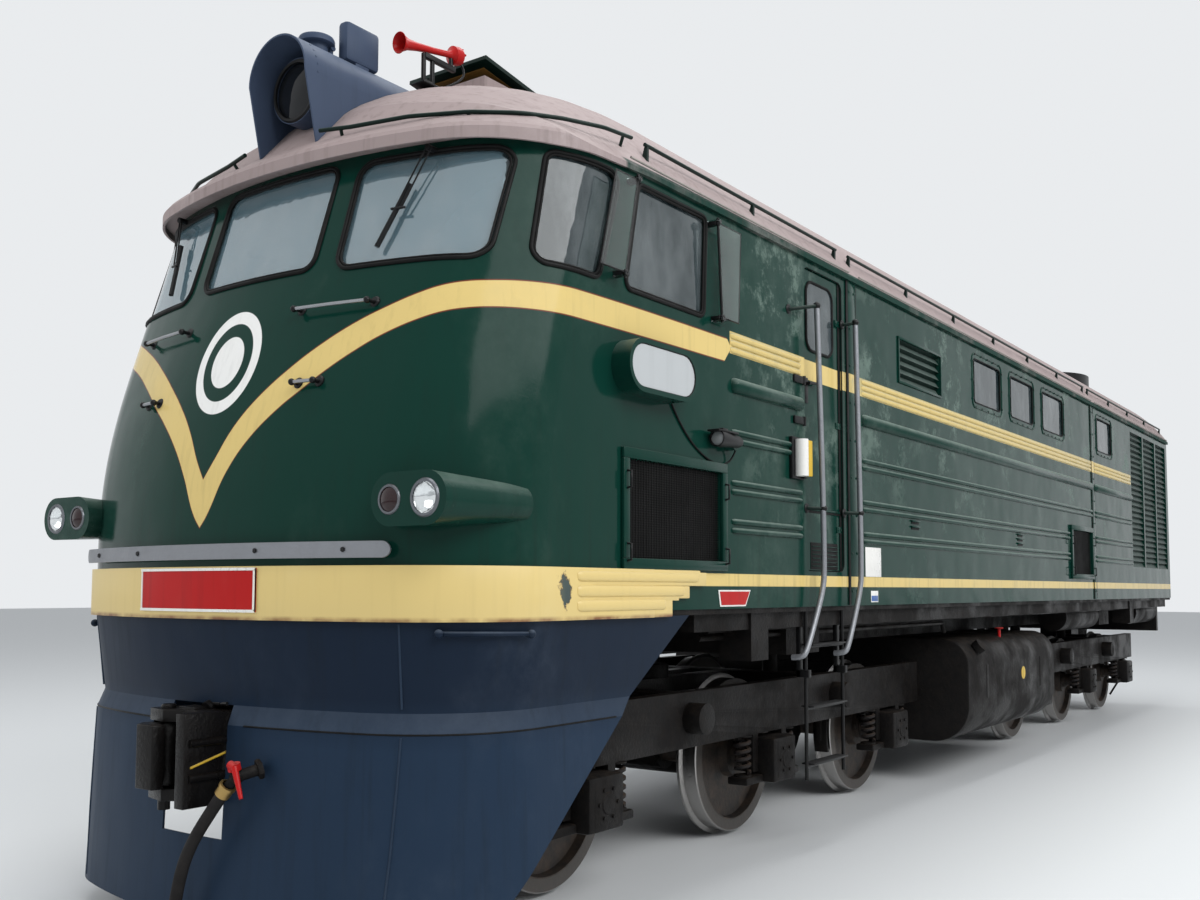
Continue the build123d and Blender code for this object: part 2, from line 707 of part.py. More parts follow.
def knuckle():
    """Front knuckle with its nose towards the guard arm."""
    with BuildPart() as jaw:
        with BuildSketch(Plane.XY.offset(coupler_z - knuckle_h / 2)):
            with Locations((knuckle_x, knuckle_y)):
                Circle(knuckle_r)
            with BuildLine():
                Polyline(
                    (knuckle_x - knuckle_r, knuckle_y),
                    (knuckle_x - knuckle_r, knuckle_y - 95),
                    (knuckle_x - 20, -coupler_reach),
                    (knuckle_x + 105, -coupler_reach),
                    (knuckle_x + 120, knuckle_y - 100),
                    (knuckle_x + 40, knuckle_y - 85),
                    (knuckle_x + 40, knuckle_y - 30),
                    close=True,
                )
            make_face()
        extrude(amount=knuckle_h)
        with Locations((knuckle_x, knuckle_y, coupler_z)):
            Cylinder(pin_r + pin_gap, knuckle_h + 10, mode=Mode.SUBTRACT)
    return jaw.part


half_turn = Rotation(0, 0, 180)
save(Compound(children=[coupler_head(), half_turn * coupler_head()]), "couplers")
save(knuckle(), "front_knuckle")
save(half_turn * knuckle(), "rear_knuckle")

# Headlamp hood on the cab roof
hood = {"half": 228.0, "front": -7725.0, "front_low": -7640.0, "back": -6880.0, "centre_z": 4368.0, "t": 10.0, "low": 3950.0}
lamp = {"r": 160.0, "z": 4335.0, "front": -7600.0, "back": -7400.0}


def arch(half, low):
    """Arch outline of the hood, on the XZ plane."""
    with BuildLine() as outline:
        Line((-half, low), (half, low))
        Line((half, low), (half, hood["centre_z"]))
        ThreePointArc((half, hood["centre_z"]), (0, hood["centre_z"] + half), (-half, hood["centre_z"]))
        Line((-half, hood["centre_z"]), (-half, low))
    make_face(outline.edges())


with BuildPart() as headlamp_hood:
    with BuildSketch(Plane.XZ.offset(-hood["front"])):
        arch(hood["half"], hood["low"])
    extrude(amount=-(hood["back"] - hood["front"]))
    with BuildSketch(Plane.XZ.offset(-hood["front"])):
        arch(hood["half"] - hood["t"], hood["low"] - 10)
    extrude(amount=-(hood["back"] - hood["front"] - hood["t"]), mode=Mode.SUBTRACT)
    add(dome_solid(-touch), mode=Mode.SUBTRACT)
    with BuildSketch(Plane.XY.offset(eaves)):
        Rectangle(3000, 20000)
    extrude(amount=60, mode=Mode.SUBTRACT)
    with BuildSketch(Plane.YZ):
        Polygon(
            (hood["front"] - 1, hood["centre_z"]),
            (hood["front_low"], 3980),
            (hood["front_low"], 3850),
            (hood["front"] - 200, 3850),
            (hood["front"] - 200, hood["centre_z"]),
            align=None,
        )
    extrude(amount=600, both=True, mode=Mode.SUBTRACT)

with BuildPart() as headlamp:
    with BuildSketch(Plane.XZ.offset(-lamp["back"])):
        arch(hood["half"] - hood["t"] - touch, hood["low"])
    extrude(amount=20)
    with BuildSketch(Plane.XZ.offset(-lamp["front"])):
        with Locations((0, lamp["z"])):
            Circle(lamp["r"] + 18)
    extrude(amount=-(lamp["back"] - lamp["front"]))
    with BuildSketch(Plane.XZ.offset(-lamp["front"] + 1)):
        with Locations((0, lamp["z"])):
            Circle(lamp["r"])
    extrude(amount=-120, mode=Mode.SUBTRACT)
    add(dome_solid(-touch), mode=Mode.SUBTRACT)
save(headlamp_hood.part, "headlamp_hood")
save(headlamp.part, "headlamp")

# Marker lamps: a pod on each side of the nose with two lenses
pod = {"x": 1325.0, "half_w": 225.0, "half_h": 118.0, "face": -8045.0, "z": 2058.0}
marker_lenses = [
    {"x": 1425.0, "r": 82.0},
    {"x": 1213.0, "r": 60.0},
]
lens_t = 12.0


def marker_pod():
    """Right-hand pod: a stadium-shaped face running back into the side."""
    with BuildPart() as body:
        with BuildSketch(Plane.XZ.offset(-pod["face"])):
            with Locations((pod["x"], pod["z"])):
                SlotOverall(2 * pod["half_w"], 2 * pod["half_h"])
        with BuildSketch(Plane.XZ.offset(7480)):
            with Locations((pod["x"] + 40, pod["z"])):
                SlotOverall(2 * pod["half_w"] - 60, 2 * pod["half_h"] - 60)
        loft()
        add(nose_solid(-touch, seam_1), mode=Mode.SUBTRACT)
        with BuildSketch(Plane.XZ.offset(-pod["face"] + 1)):
            for lens in marker_lenses:
                with Locations((lens["x"], pod["z"])):
                    Circle(lens["r"] + 1)
        extrude(amount=-40, mode=Mode.SUBTRACT)
    return body.part.solids().sort_by(SortBy.VOLUME)[-1]


with BuildPart() as marker_lamps:
    add(side_pair(marker_pod()))
save(marker_lamps.part, "marker_lamps")

with BuildPart() as lamp_lenses:
    with BuildSketch(Plane.XZ.offset(-pod["face"] - 39 + lens_t)):
        for lens in marker_lenses:
            with Locations((lens["x"], pod["z"]), (-lens["x"], pod["z"])):
                Circle(lens["r"])
    extrude(amount=-lens_t)
    with BuildSketch(Plane.XZ.offset(-lamp["front"] - 30)):
        with Locations((0, lamp["z"])):
            Circle(lamp["r"] - touch)
    extrude(amount=-lens_t)

# Steel bar across the nose, on stand-off blocks
bar = {"z": 1848.0, "h": 46.0, "t": 12.0, "off": 42.0, "half": 1230.0}
with BuildPart() as nose_bar:
    with BuildSketch(Plane.XY.offset(bar["z"] - bar["h"] / 2)):
        nose_outline(band_front, body_half, band_back, -bar["off"] - bar["t"])
    extrude(amount=bar["h"])
    with BuildSketch(Plane.XY.offset(bar["z"] - bar["h"] / 2 - 1)):
        nose_outline(band_front, body_half, band_back + 80, -bar["off"])
    extrude(amount=bar["h"] + 2, mode=Mode.SUBTRACT)
    with Locations((0, band_front, bar["z"])):
        Box(2 * bar["half"], 700, 100, mode=Mode.INTERSECT)
    for x in (-1130, -880, -590, -300, 0, 300, 590, 880, 1130):
        with Locations((x, nose_y(x, bar["z"]) - bar["off"] / 2 - 1, bar["z"])):
            Box(30, bar["off"] + 4, 26)
    add(nose_solid(-touch, seam_1), mode=Mode.SUBTRACT)
save(nose_bar.part, "nose_bar")

# Number lamp boxes and small side lamps
side_lamp = {"y": -5665.0, "z": 2520.0, "r": 45.0, "out": 60.0}
number_box = {"front": -6840.0, "back": -6178.0, "z": 2808.0, "h": 278.0, "out": 115.0}
with BuildPart() as number_boxes:
    for side in (1, -1):
        plane = Plane.YZ.offset(side * (body_half + touch))
        with BuildSketch(plane):
            with Locations(((number_box["front"] + number_box["back"]) / 2, number_box["z"])):
                SlotOverall(number_box["back"] - number_box["front"], number_box["h"])
        extrude(amount=side * number_box["out"])
        with BuildSketch(Plane.YZ.offset(side * (body_half + number_box["out"] - 12))):
            with Locations(((number_box["front"] + number_box["back"]) / 2, number_box["z"])):
                SlotOverall(number_box["back"] - number_box["front"] - 50, number_box["h"] - 50)
        extrude(amount=side * 20, mode=Mode.SUBTRACT)
    for side in (1, -1):
        with Locations((side * (body_half + touch + side_lamp["out"] / 2), side_lamp["y"], side_lamp["z"])):
            Cylinder(side_lamp["r"], side_lamp["out"], rotation=(0, 90, 0))
save(number_boxes.part, "number_boxes")

with BuildPart() as number_panes:
    for side in (1, -1):
        with BuildSketch(Plane.YZ.offset(side * (body_half + number_box["out"] - 12 + touch))):
            with Locations(((number_box["front"] + number_box["back"]) / 2, number_box["z"])):
                SlotOverall(number_box["back"] - number_box["front"] - 54, number_box["h"] - 54)
        extrude(amount=side * 6)
save(Compound(children=[lamp_lenses.part, number_panes.part]), "lamp_glasses")

# Mesh panels seated in the side openings
mesh_t = 10.0
with BuildPart() as side_meshes:
    for side in (1, -1):
        for hole in (mesh_hole, rear_mesh_hole):
            with BuildSketch(Plane.YZ.offset(side * (body_half - 30))):
                with Locations(((hole["front"] + hole["back"]) / 2, (hole["low"] + hole["high"]) / 2)):
                    Rectangle(hole["back"] - hole["front"] - 2 * touch, hole["high"] - hole["low"] - 2 * touch)
            extrude(amount=side * mesh_t)
mesh_frame = {"out": 24.0, "w": 55.0}
with BuildPart() as mesh_frames:
    for side in (1, -1):
        with BuildSketch(Plane.YZ.offset(side * (body_half + touch))):
            for hole in (mesh_hole, rear_mesh_hole):
                with Locations(((hole["front"] + hole["back"]) / 2, (hole["low"] + hole["high"]) / 2)):
                    Rectangle(hole["back"] - hole["front"] + 110, hole["high"] - hole["low"] + 110)
                    Rectangle(hole["back"] - hole["front"], hole["high"] - hole["low"], mode=Mode.SUBTRACT)
        extrude(amount=side * mesh_frame["out"])
    add(side_meshes.part)
save(mesh_frames.part, "side_meshes")


def slat_panel(hole, low, high, rows, side, depth=34.0, sheet=4.0):
    """Louvre panel as one folded sheet in a frame, on one side wall."""
    pitch = (high - low) / rows
    outer = side * (body_half - 8)
    inner = outer - side * depth
    with BuildPart() as panel:
        with BuildSketch(Plane.XZ.offset(-hole["front"] - touch)):
            with BuildLine():
                points = []
                for i in range(rows):
                    z = low + 2 + i * (high - low - 4) / rows
                    points += [(outer, z), (inner, z + pitch * 0.75)]
                points.append((outer, high - 2))
                back = [(x - side * sheet * 2, z) for x, z in reversed(points)]
                Polyline(*points, *back, close=True)
            make_face()
        extrude(amount=-(hole["back"] - hole["front"] - 2 * touch))
    return panel.part


with BuildPart() as side_louvres:
    for side in (1, -1):
        add(slat_panel(louvre_hole, louvre_hole["low"], louvre_hole["high"], 5, side))

with BuildPart() as radiator_shutters:
    for side in (1, -1):
        for bay in shutter_bays:
            add(slat_panel(bay, shutter_z["low"], shutter_z["high"], 24, side))
    add(side_louvres.part)
save(radiator_shutters.part, "side_louvres")

# Side doors, hinged at their rear edges, and the door in the rear end wall


def side_door(side):
    """Door leaf with its window opening and hinge barrels."""
    with BuildPart() as leaf:
        with BuildSketch(Plane.YZ.offset(side * (body_half - door_set))) as face:
            window_quad(
                door["low"] + door_gap,
                door["high"] - door_gap,
                (door["front"] + door_gap, door["back"] - door_gap),
                (door["front"] + door_gap, door["back"] - door_gap),
                door["corner"] - door_gap,
            )
        extrude(face.sketch, amount=-side * door_t)
        with BuildSketch(Plane.YZ.offset(side * (body_half + 1))) as pane:
            window_quad(
                door_pane["low"],
                door_pane["high"],
                (door_pane["front"], door_pane["back"]),
                (door_pane["front"], door_pane["back"]),
                60,
            )
        extrude(pane.sketch, amount=-side * 200, mode=Mode.SUBTRACT)
        arm = body_half - door_set - door_t - side_hinge["x"] + 1
        for z in side_hinge["places"]:
            with Locations((side * (side_hinge["x"] + arm / 2), side_hinge["y"] - 20, z)):
                Box(arm, 40, barrel["h"])
            with Locations((side * side_hinge["x"], side_hinge["y"], z)):
                Cylinder(barrel["r"], barrel["h"])
                Cylinder(barrel["pin_r"] + pin_gap, barrel["h"], mode=Mode.SUBTRACT)
    return leaf.part


save(side_door(1), "left_door")
save(side_door(-1), "right_door")
with BuildPart() as rear_leaf:
    with Locations((0, rear_y - wall / 2, (rear_door["low"] + rear_door["high"]) / 2)):
        Box(
            2 * (rear_door["half"] - door_gap),
            door_t,
            rear_door["high"] - rear_door["low"] - 2 * door_gap,
        )
    arm = rear_y - wall / 2 - door_t / 2 + 1 - rear_hinge["y"]
    for z in rear_hinge["places"]:
        with Locations((rear_hinge["x"] - 20, rear_hinge["y"] + arm / 2, z)):
            Box(40, arm, barrel["h"])
        with Locations((rear_hinge["x"], rear_hinge["y"], z)):
            Cylinder(barrel["r"], barrel["h"])
            Cylinder(barrel["pin_r"] + pin_gap, barrel["h"], mode=Mode.SUBTRACT)
save(rear_leaf.part, "rear_door")

# Handrails, ladders and grab irons
rail_r = 17.0
rail_x = 1640.0 - rail_r
rail_places = [{"y": -4670.0, "foot": -4560.0}, {"y": -4030.0, "foot": -4010.0}]
ladder = {"front": -4570.0, "back": -4000.0, "x": 1500.0, "low": 440.0, "high": body_base - deck_t}
rung_heights = [1340.0, 900.0, 530.0]
with BuildPart() as handrails:
    for place in rail_places:
        top, bend = 3570.0, 1640.0
        points = [
            (body_half + touch, place["y"], top),
            (rail_x, place["y"], top),
            (rail_x, place["y"], bend),
            (ladder["x"] + 6 + rail_r + 2, place["foot"], 1200),
        ]
        add(side_pair(tube(points, 45, rail_r)))

with BuildPart() as ladders:
    for side in (1, -1):
        for y in (ladder["front"], ladder["back"]):
            with Locations((side * ladder["x"], y, (ladder["low"] + ladder["high"]) / 2)):
                Box(12, 50, ladder["high"] - ladder["low"])
        for z in rung_heights:
            with Locations((side * (ladder["x"] - 30), (ladder["front"] + ladder["back"]) / 2, z)):
                Box(90, ladder["back"] - ladder["front"] + 40, 16)
    add(handrails.part)
save(ladders.part, "handrails")

grabs = [
    {"x0": 500.0, "x1": 950.0, "z": 3005.0, "off": 60.0, "r": 11.0},
    {"x0": 590.0, "x1": 735.0, "z": 2620.0, "off": 45.0, "r": 9.0},
]
skirt_rail = [
    (1230.0, -7780.0, 1460.0),
    (1270.0, -7900.0, 1460.0),
    (1430.0, -7770.0, 1460.0),
    (1545.0, -7560.0, 1460.0),
    (1430.0, -7500.0, 1460.0),
]
with BuildPart() as grab_irons:
    for grab in grabs:
        ends = []
        for x in (grab["x0"], grab["x1"]):
            y = nose_y(x, grab["z"])
            ends.append((x, y))
        points = [
            (ends[0][0], ends[0][1] - 1, grab["z"]),
            (ends[0][0], ends[0][1] - grab["off"], grab["z"]),
            (ends[1][0], ends[1][1] - grab["off"], grab["z"]),
            (ends[1][0], ends[1][1] - 1, grab["z"]),
        ]
        add(side_pair(tube(points, 20, grab["r"])))
    add(nose_solid(-touch, seam_1), mode=Mode.SUBTRACT)
with BuildPart() as skirt_rails:
    add(side_pair(tube(skirt_rail, 25, 13)))
    add(skirt_solid(-touch, -5900), mode=Mode.SUBTRACT)
save(Compound(children=[grab_irons.part, skirt_rails.part]), "grab_irons")

# Roof rails on brackets
rail_rod_r = 11.0
rail_rod = {"x": 1480.0, "z": 4075.0}
rail_lengths = [(-6440.0, -3990.0), (-3780.0, 2980.0), (3180.0, 7560.0)]
brow_rail = [
    (1480.0, -6570.0, 4072.0),
    (1488.0, -6830.0, 4042.0),
    (1414.0, -7085.0, 4022.0),
    (1324.0, -7295.0, 4002.0),
    (1123.0, -7459.0, 4000.0),
    (842.0, -7588.0, 4000.0),
    (490.0, -7648.0, 4008.0),
    (300.0, -7684.0, 4020.0),
]
brow_rail_feet = [(430.0, -7660.0, 4011.0), (1123.0, -7459.0, 4000.0), (1484.0, -6650.0, 4062.0)]
with BuildPart() as roof_rails:
    for front, back in rail_lengths:
        steps = max(2, round((back - front) / 1150))
        for side in (1, -1):
            with BuildSketch(Plane.XZ.offset(-front)):
                with Locations((side * rail_rod["x"], rail_rod["z"])):
                    Circle(rail_rod_r)
            extrude(amount=-(back - front))
            for i in range(steps + 1):
                y = front + 20 + i * (back - front - 40) / steps
                surface = arc_y(roof_half, eaves + roof_edge, roof_top, rail_rod["x"] - 20)
                with BuildSketch(Plane.XZ.offset(-y + 10)):
                    with BuildLine():
                        Polyline(
                            (side * (rail_rod["x"] - 45), surface - 90),
                            (side * (rail_rod["x"] - 8), rail_rod["z"]),
                            (side * (rail_rod["x"] + 8), rail_rod["z"]),
                            (side * (rail_rod["x"] + 5), surface - 90),
                            close=True,
                        )
                    make_face()
                extrude(amount=-20)
    with BuildSketch(Plane.XZ.offset(-dome_start)) as inside:
        roof_section(-touch)
    extrude(inside.sketch, amount=-(rear_y - dome_start + 100), mode=Mode.SUBTRACT)
    add(side_pair(tube(brow_rail, 250, rail_rod_r)))
    for x, y, z in brow_rail_feet:
        add(side_pair(tube([(x, y, z), (x * 0.93, y + 70, z - 110)], 0, 9)))
    add(dome_solid(-touch), mode=Mode.SUBTRACT)
save(roof_rails.part, "roof_rails")

# Hatch lid over the coaming, shown a little open
hatch_open = 8.0


def hatch_lid():
    """Flat lid with its rim and hinge barrel, swung open about its rear edge."""
    with BuildPart() as lid:
        low = coaming_top + 6
        with Locations((0, (hatch_front - 30 + hatch_back + 10) / 2, low + 12)):
            Box(2 * hatch_half + 60, hatch_back - hatch_front + 40, 24)
        with Locations((0, hatch_hinge["y"] - 20, hatch_hinge["z"])):
            Box(280, 50, 16)
        with BuildSketch(Plane.YZ):
            with Locations((hatch_hinge["y"], hatch_hinge["z"])):
                Circle(hatch_hinge["r"])
        extrude(amount=185, both=True)
    turn = Location((0, hatch_hinge["y"], hatch_hinge["z"]), (-hatch_open, 0, 0))
    back = Location((0, -hatch_hinge["y"], -hatch_hinge["z"]))
    return turn * back * lid.part


save(hatch_lid(), "roof_hatch")

# Horn on its bracket
horn = {"x": 300.0, "y": -6700.0, "z": 4790.0, "mouth": -7110.0}
with BuildPart() as horn_body:
    with BuildSketch(Plane.YZ.offset(horn["x"])):
        with BuildLine():
            Polyline(
                (horn["y"] + 40, horn["z"]),
                (horn["y"] + 40, horn["z"] + 58),
                (horn["y"] - 10, horn["z"] + 58),
                (horn["y"] - 10, horn["z"] + 20),
                (horn["mouth"] + 130, horn["z"] + 24),
                (horn["mouth"] + 50, horn["z"] + 38),
                (horn["mouth"], horn["z"] + 68),
                (horn["mouth"], horn["z"] + 62),
                (horn["mouth"] + 50, horn["z"] + 30),
                (horn["mouth"] + 130, horn["z"]),
                close=True,
            )
        make_face()
    revolve(axis=Axis((horn["x"], 0, horn["z"]), (0, 1, 0)))
with BuildPart() as horn_bracket:
    with Locations((0, -6800, 4500)):
        Box(60, 120, 560)
    with Locations((horn["x"] / 2 + 20, -6800, horn["z"] - 34)):
        Box(horn["x"] + 100, 50, 16)
    with Locations((horn["x"], -6800, horn["z"] - 24)):
        Cylinder(9, 20)
    add(dome_solid(-touch), mode=Mode.SUBTRACT)
    with BuildSketch(Plane.YZ.offset(horn["x"] - 100)):
        with Locations((-6800, horn["z"])):
            Circle(24)
    extrude(amount=200, mode=Mode.SUBTRACT)
    add(horn_body.part)
save(horn_bracket.part, "horn")

# Vent cap and case on the lamp hood
hood_top = hood["centre_z"] + hood["half"]
with BuildPart() as hood_fittings:
    with Locations((0, -7460, hood_top + 10)):
        Cylinder(70, 60)
    with Locations((0, -7460, hood_top + 60)):
        Cylinder(100, 50)
    with Locations((110, -7250, hood_top + 25)):
        Box(75, 240, 240)
    with BuildSketch(Plane.XZ.offset(8000)) as inside:
        arch(hood["half"] + touch, hood["low"])
    extrude(inside.sketch, amount=-2000, mode=Mode.SUBTRACT)
save(hood_fittings.part, "hood_fittings")

# Radiator fan on its drive shaft, and the collar round it
drive_pin_r = 30.0
with BuildPart() as fan_drive:
    with Locations((0, fan["y"], (body_base + fan["z"] - 60) / 2)):
        Cylinder(70, fan["z"] - 60 - body_base)
    with Locations((0, fan["y"], fan["z"])):
        Cylinder(drive_pin_r, 140)
    with Locations((0, fan["y"], body_base + 200)):
        Box(600, 600, 400)
with BuildPart() as radiator_fan:
    with Locations((0, fan["y"], fan["z"])):
        Cylinder(fan["hub_r"], 100)
    for i in range(fan["blades"]):
        angle = 360 / fan["blades"] * i
        with BuildSketch(Plane((0, fan["y"], fan["z"]), x_dir=(-sin(radians(angle)), cos(radians(angle)), 0),
                               z_dir=(cos(radians(angle)), sin(radians(angle)), 0)).offset(fan["hub_r"] - 30)):
            Rectangle(190, 12, rotation=28)
        extrude(amount=fan["r"] - fan["hub_r"] + 30)
    with Locations((0, fan["y"], fan["z"])):
        Cylinder(drive_pin_r + pin_gap, 300, mode=Mode.SUBTRACT)
save(radiator_fan.part, "radiator_fan")
with BuildPart() as fan_collar:
    outer = fan["r"] + fan["gap"] + 30 - touch
    with Locations((0, fan["y"], 4660)):
        Cylinder(outer, 260)
        Cylinder(outer - 22, 300, mode=Mode.SUBTRACT)
    for i in range(-4, 5):
        half = sqrt((outer - 10) ** 2 - (i * 150) ** 2)
        with Locations((i * 150, fan["y"], 4780)):
            Box(14, 2 * half, 14)
    for i in (-2, 0, 2):
        half = sqrt((outer - 10) ** 2 - (i * 150) ** 2)
        with Locations((0, fan["y"] + i * 150, 4780)):
            Box(2 * half, 14, 14)
with BuildPart() as exhaust_stack:
    with Locations((0, stack["y"], roof_top + 10)):
        Box(stack["width"] - 2 * touch, stack["length"] - 2 * touch, 2 * stack["height"])
        Box(stack["width"] - 2 * stack["t"], stack["length"] - 2 * stack["t"], 600, mode=Mode.SUBTRACT)
save(Compound(children=[exhaust_stack.part, fan_collar.part]), "roof_collars")

# Tank and reservoirs under the floor
tank = {"half_x": 1500.0, "half_y": 1365.0, "low": 340.0, "top_r": 230.0, "low_r": 330.0}
with BuildPart() as fuel_tank:
    with BuildSketch(Plane.XZ.offset(tank["half_y"])) as section:
        with Locations((0, (tank["low"] + sill_base - touch) / 2)):
            Rectangle(2 * tank["half_x"], sill_base - touch - tank["low"])
        fillet(section.vertices().group_by(Axis.Y)[-1], tank["top_r"])
        fillet(section.vertices().group_by(Axis.Y)[0], tank["low_r"])
    extrude(amount=-2 * tank["half_y"])
save(fuel_tank.part, "fuel_tank")
reservoir = {"x": 1205.0, "r": 160.0, "z": 1360.0}
reservoir_spans = [(2450.0, 3980.0), (6150.0, 7550.0)]
with BuildPart() as air_reservoirs:
    for front, back in reservoir_spans:
        for side in (1, -1):
            with BuildSketch(Plane.XZ.offset(-front)):
                with Locations((side * reservoir["x"], reservoir["z"])):
                    Circle(reservoir["r"])
            extrude(amount=-(back - front))
            for y in (front + 250, back - 250):
                with Locations((side * reservoir["x"], y, (reservoir["z"] + body_base - deck_t) / 2 + 60)):
                    Box(240, 50, body_base - deck_t - reservoir["z"] - 120)
save(air_reservoirs.part, "air_reservoirs")

# Machinery inside
with BuildPart() as engine_block:
    with Locations((0, 600, (body_base + 3350) / 2)):
        Box(1100, 4200, 3350 - body_base)
with BuildPart() as generator:
    with Locations((0, -2250, body_base + 250)):
        Box(1200, 1300, 500)
    with BuildSketch(Plane.XZ.offset(2900)):
        with Locations((0, body_base + 650)):
            Circle(620)
    extrude(amount=-1300)
save(Compound(children=[engine_block.part, generator.part, fan_drive.part]), "machinery")

# Cab inside
cab_back = -5300.0
bulkhead = {"t": 40.0, "door_half": 320.0, "door_top": 3500.0}
with BuildPart() as bulkhead_head:
    with Locations((0, cab_back, (eaves + roof_top) / 2)):
        Box(2 * (body_half - wall - touch), bulkhead["t"], roof_top - eaves)
    add(dome_solid(roof_t + 2 * touch), mode=Mode.INTERSECT)
with BuildPart() as cab_bulkhead:
    with Locations((0, cab_back, (body_base + eaves) / 2)):
        Box(2 * (body_half - wall - touch), bulkhead["t"], eaves - body_base)
    with Locations((0, cab_back, (body_base + bulkhead["door_top"]) / 2)):
        Box(2 * bulkhead["door_half"], 200, bulkhead["door_top"] - body_base, mode=Mode.SUBTRACT)
    add(bulkhead_head.part)
save(cab_bulkhead.part, "cab_bulkhead")

with BuildPart() as cab_desk:
    with BuildSketch(Plane.YZ):
        Polygon(
            (-8000, body_base),
            (-7300, body_base),
            (-7200, 2350),
            (-7050, 2420),
            (-7100, 2500),
            (-7350, 2600),
            (-8000, 2600),
            align=None,
        )
    extrude(amount=1300, both=True)
    add(nose_solid(wall + 30, seam_1), mode=Mode.INTERSECT)

with BuildPart() as cab_seats:
    for x in (-760, 760):
        with Locations((x, -6350, body_base + 225)):
            Cylinder(60, 450)
        with Locations((x, -6350, body_base + 500)):
            Box(480, 460, 110)
        with Locations((x, -6150, body_base + 800)):
            Box(460, 90, 560)
save(Compound(children=[cab_desk.part, cab_seats.part]), "cab_fittings")

# Brake hose with its cock and end fitting
hose_r = 29.0
hose_points = [
    (395.0, -8240.0, 762.0),
    (300.0, -8258.0, 640.0),
    (190.0, -8266.0, 500.0),
    (105.0, -8262.0, 350.0),
    (55.0, -8250.0, 195.0),
]


def corner_radii(points):
    """One bend radius for each inner point, 0.45 of the shorter run over the tangent of half the turn."""
    radii = []
    for before, here, after in zip(points, points[1:], points[2:]):
        run_in, run_out = Vector(*here) - Vector(*before), Vector(*after) - Vector(*here)
        turn = radians(run_in.get_angle(run_out))
        radii.append(0.45 * min(run_in.length, run_out.length) / tan(turn / 2))
    return radii


hose_radii = corner_radii(hose_points)
brake_hose = tube(hose_points, hose_radii, hose_r)
print("brake hose bend radii", [round(r) for r in hose_radii])
save(brake_hose, "brake_hose")

hose_top = Vector(*hose_points[0])
hose_top_dir = (Vector(*hose_points[0]) - Vector(*hose_points[1])).normalized()
hose_end = Vector(*hose_points[-1])
hose_end_dir = (Vector(*hose_points[-1]) - Vector(*hose_points[-2])).normalized()
cock = {"x": 500.0, "z": 862.0, "r": 30.0, "front": -8200.0}
with BuildPart() as hose_cock:
    with BuildSketch(Plane(origin=hose_top, z_dir=hose_top_dir)):
        Circle(35)
    extrude(amount=70)
    with BuildSketch(Plane(origin=hose_top, z_dir=hose_top_dir)):
        Circle(24)
    extrude(amount=150)
    with BuildSketch(Plane.XZ.offset(8060)):
        with Locations((cock["x"], cock["z"])):
            Circle(cock["r"])
    extrude(amount=190)
    add(skirt_solid(-touch, -5900), mode=Mode.SUBTRACT)
with BuildPart() as cock_handle:
    with Locations((cock["x"], -8250 - touch - 12, cock["z"])):
        Cylinder(26, 24, rotation=(90, 0, 0))
    with BuildSketch(Plane.XZ.offset(8250 + touch)):
        Polygon(
            (cock["x"] - 26, cock["z"] + 30),
            (cock["x"] + 24, cock["z"] + 34),
            (cock["x"] + 112, cock["z"] - 105),
            (cock["x"] + 86, cock["z"] - 118),
            align=None,
        )
    extrude(amount=14)
cock_body = hose_cock.part.solids().sort_by(SortBy.VOLUME)[-1]
save(Compound(children=[cock_body, cock_handle.part]), "hose_cock")
with BuildPart() as hose_fitting:
    with BuildSketch(Plane(origin=hose_end, z_dir=hose_end_dir)):
        Circle(36)
    extrude(amount=60)
    with BuildSketch(Plane(origin=hose_end + hose_end_dir * 60, z_dir=hose_end_dir)):
        Rectangle(80, 60)
    extrude(amount=50)
save(hose_fitting.part, "hose_fitting")

# Wipers on the two side front panes
with BuildPart() as wipers:
    for side in (1, -1):
        x0, z0, x1, z1 = 1010.0, 3815.0, 720.0, 3330.0
        lift = 30.0
        a = (side * x0, nose_y(x0, z0) - lift, z0)
        b = (side * x1, nose_y(x1, z1) - lift, z1)
        with BuildSketch(Plane(origin=a, z_dir=Vector(*b) - Vector(*a))):
            Rectangle(22, 12)
        extrude(amount=(Vector(*b) - Vector(*a)).length)
        with BuildSketch(Plane(origin=(a[0], a[1] - 15, a[2]), z_dir=(0, 1, 0))):
            Circle(20)
        extrude(amount=120)
    add(nose_solid(-touch, seam_1), mode=Mode.SUBTRACT)
save(wipers.part, "wipers")

# Wind deflectors beside the cab side windows
deflectors = [             # pole end, free end at the foot, pole end and free end at the head
    {"foot": (-6810.0, -7030.0), "head": (-6690.0, -6885.0), "low": 3270.0, "high": 3780.0},
    {"foot": (-5825.0, -5635.0), "head": (-5870.0, -5605.0), "low": 3225.0, "high": 3765.0},
]
deflector = {"x": body_half + 60.0, "t": 10.0, "bracket_h": 18.0}
with BuildPart() as wind_deflectors:
    for side in (1, -1):
        for leaf in deflectors:
            for z, y, below in ((leaf["low"], leaf["foot"][0], -1), (leaf["high"], leaf["head"][0], 1)):
                lift = below * (touch + deflector["bracket_h"] / 2)
                with Locations((side * (body_half + touch + 40), y, z + lift)):
                    Box(80, 34, deflector["bracket_h"])
            with BuildSketch(Plane.YZ.offset(side * deflector["x"])):
                Polygon(
                    (leaf["foot"][0], leaf["low"]),
                    (leaf["foot"][1], leaf["low"]),
                    (leaf["head"][1], leaf["high"]),
                    (leaf["head"][0], leaf["high"]),
                    align=None,
                )
            extrude(amount=side * deflector["t"])
save(wind_deflectors.part, "wind_deflectors")

# Bogies
pedestal_gap = 6.0
spring_r = 62.0
spring_y = 310.0
saddle_z = 430.0
frame_low = 700.0
axle_places = [-axle_gap, 0.0, axle_gap]
motor = {"r": 320.0, "z": 570.0, "y": 570.0, "half": 420.0}


